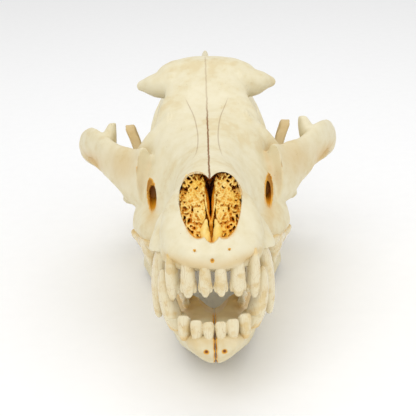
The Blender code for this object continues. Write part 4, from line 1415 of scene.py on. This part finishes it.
def make_enamel():
    material, tree, shader = new_material("old_enamel", 0.25)
    place = skull_coordinates(tree)
    stretched = tree.nodes.new("ShaderNodeMapping")
    stretched.inputs["Scale"].default_value = (1.6, 1.6, 0.12)
    tree.links.new(place, stretched.inputs["Vector"])
    blotches = noise_value(tree, place, 0.16, 3.0)
    edges = {"feature": "DISTANCE_TO_EDGE"}
    cracks = add_node(tree, "ShaderNodeTexVoronoi", edges, Vector=stretched.outputs["Vector"], Scale=0.5)
    crack = ramp(tree, cracks.outputs["Distance"], 0.0, 0.035, 0.4, 0.0)
    colour = mix_colour(tree, ramp(tree, blotches, 0.45, 0.68), ENAMEL, OLD_ENAMEL)
    # Painted shade: the enamel darkens in its dips.
    colour = mix_colour(tree, ramp(tree, attribute(tree, "hollow"), 0.52, 0.85), colour, ENAMEL_DIP_SHADE)
    colour = mix_colour(tree, math_node(tree, "MULTIPLY", attribute(tree, "gum"), 0.6), colour, ENAMEL_GUM)
    colour = mix_colour(tree, crack, colour, ENAMEL_CRACK)
    tree.links.new(colour, shader.inputs["Base Color"])
    tree.links.new(ramp(tree, attribute(tree, "gum"), 0.0, 1.0, 0.2, 0.45), shader.inputs["Roughness"])
    add_bump(tree, shader, noise_value(tree, stretched.outputs["Vector"], 2.0, 4.0), 0.00012, 0.5)
    return material


enamel = make_enamel()


# %% Stains and painted shade on the bone
def stain_and_shade_cranium(x, y, z):
    # Stains along the gum lines of the upper teeth.
    gum = np.zeros(len(x))
    for tooth_x, tooth_y, width, _, _, _ in UPPER_INCISORS:
        gum += bell(np.hypot(x - tooth_x, y - tooth_y), width * 0.75) * bell(z + 1.5 - gum_rise(tooth_y), 2.4)
    for tooth_x, tooth_y, length, _, _, _ in UPPER_CHEEK_TEETH:
        gum += 0.5 * bell(y - tooth_y, length * 0.6) * bell(z + 1.0, 2.2)
    # Painted shade under the cheek arch's lower edge, then darker tan before the eye and below the cheek's
    # nerve hole.
    arch = 1.2 * bell(y - 150, 18) * bell(z - 34.5, 5.5) * step(x, 54, 60)
    before_eye = 0.6 * bell(y - 112, 14) * bell(z - 36, 10) * step(x, 28, 38)
    under_nerve_hole = 0.7 * bell(x - 30, 3.5) * bell(z - 13, 7) * bell(y - 80, 18)
    return gum + arch + before_eye + under_nerve_hole


def stain_jaw(x, y, z):
    tip = step(z, 30, 48) * step(y, 140, 160)
    gum = bell(z - LOWER_GUM + 1, 3.0) * step(y, 34, 44) * (1 - step(y, 128, 136))
    front = bell(z - LOWER_FRONT_GUM, 3.0) * (1 - step(y, 14, 20)) + bell(x, 1.5) * (1 - step(y, 20, 50))
    inner = step(z, -24, -16) * step(y, 18, 26) * (1 - step(y, 70, 100))
    return 0.8 * tip + 0.5 * gum + 0.45 * front + 0.7 * inner


def add_stain_and_shade(obj, rule):
    points = read(obj)
    store(obj, "stain_and_shade", rule(np.abs(points[:, 0]), points[:, 1], points[:, 2]))


add_stain_and_shade(cranium, stain_and_shade_cranium)
add_stain_and_shade(jaw, stain_jaw)
add_stain_and_shade(jaw_right, stain_jaw)

# %% [markdown]
# The long cranium is divided where real bones meet behind the eyes, so that each piece stays light enough
# to edit. Last, every mesh is turned out of the skull frame, set on its floor and given its material, and
# the plain CAD solids are hidden.

# %% Divide, place and finish
BROW_SEAM_Y = 170.0
cranium_back = copy_of(cranium, "cranium_back")
cranium.name = "cranium_front"
carve(cranium, half_space("before", (-120, -60, -80), (120, BROW_SEAM_Y, 160)), "INTERSECT")
carve(cranium_back, half_space("behind", (-120, BROW_SEAM_Y, -80), (120, 320, 160)), "INTERSECT")
thin_out(cranium, MOST_FRONT)
thin_out(cranium_back, MOST_BACK)


def finish_piece(obj, material, opened=False):
    obj.data.transform(TO_WORLD @ OPEN_JAW if opened else TO_WORLD)
    placed = read(obj)
    placed[:, 2] = np.maximum(placed[:, 2], 0.0)
    move(obj, placed)
    obj.data.materials.clear()
    obj.data.materials.append(material)
    obj.data.shade_smooth()
    obj.data.set_sharp_from_angle(angle=math.radians(60))
    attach(obj, "root")


for piece in (cranium, cranium_back):
    finish_piece(piece, bone)
for piece in (jaw, jaw_right):
    finish_piece(piece, bone, opened=True)
for piece in (scrolls, keel):
    finish_piece(piece, scroll_bone)
for piece in teeth:
    finish_piece(piece, enamel)

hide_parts("muzzle", "zygomatic_arch_left", "zygomatic_arch_right")
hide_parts("braincase")
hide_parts("mandible_left")
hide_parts("mandible_right")
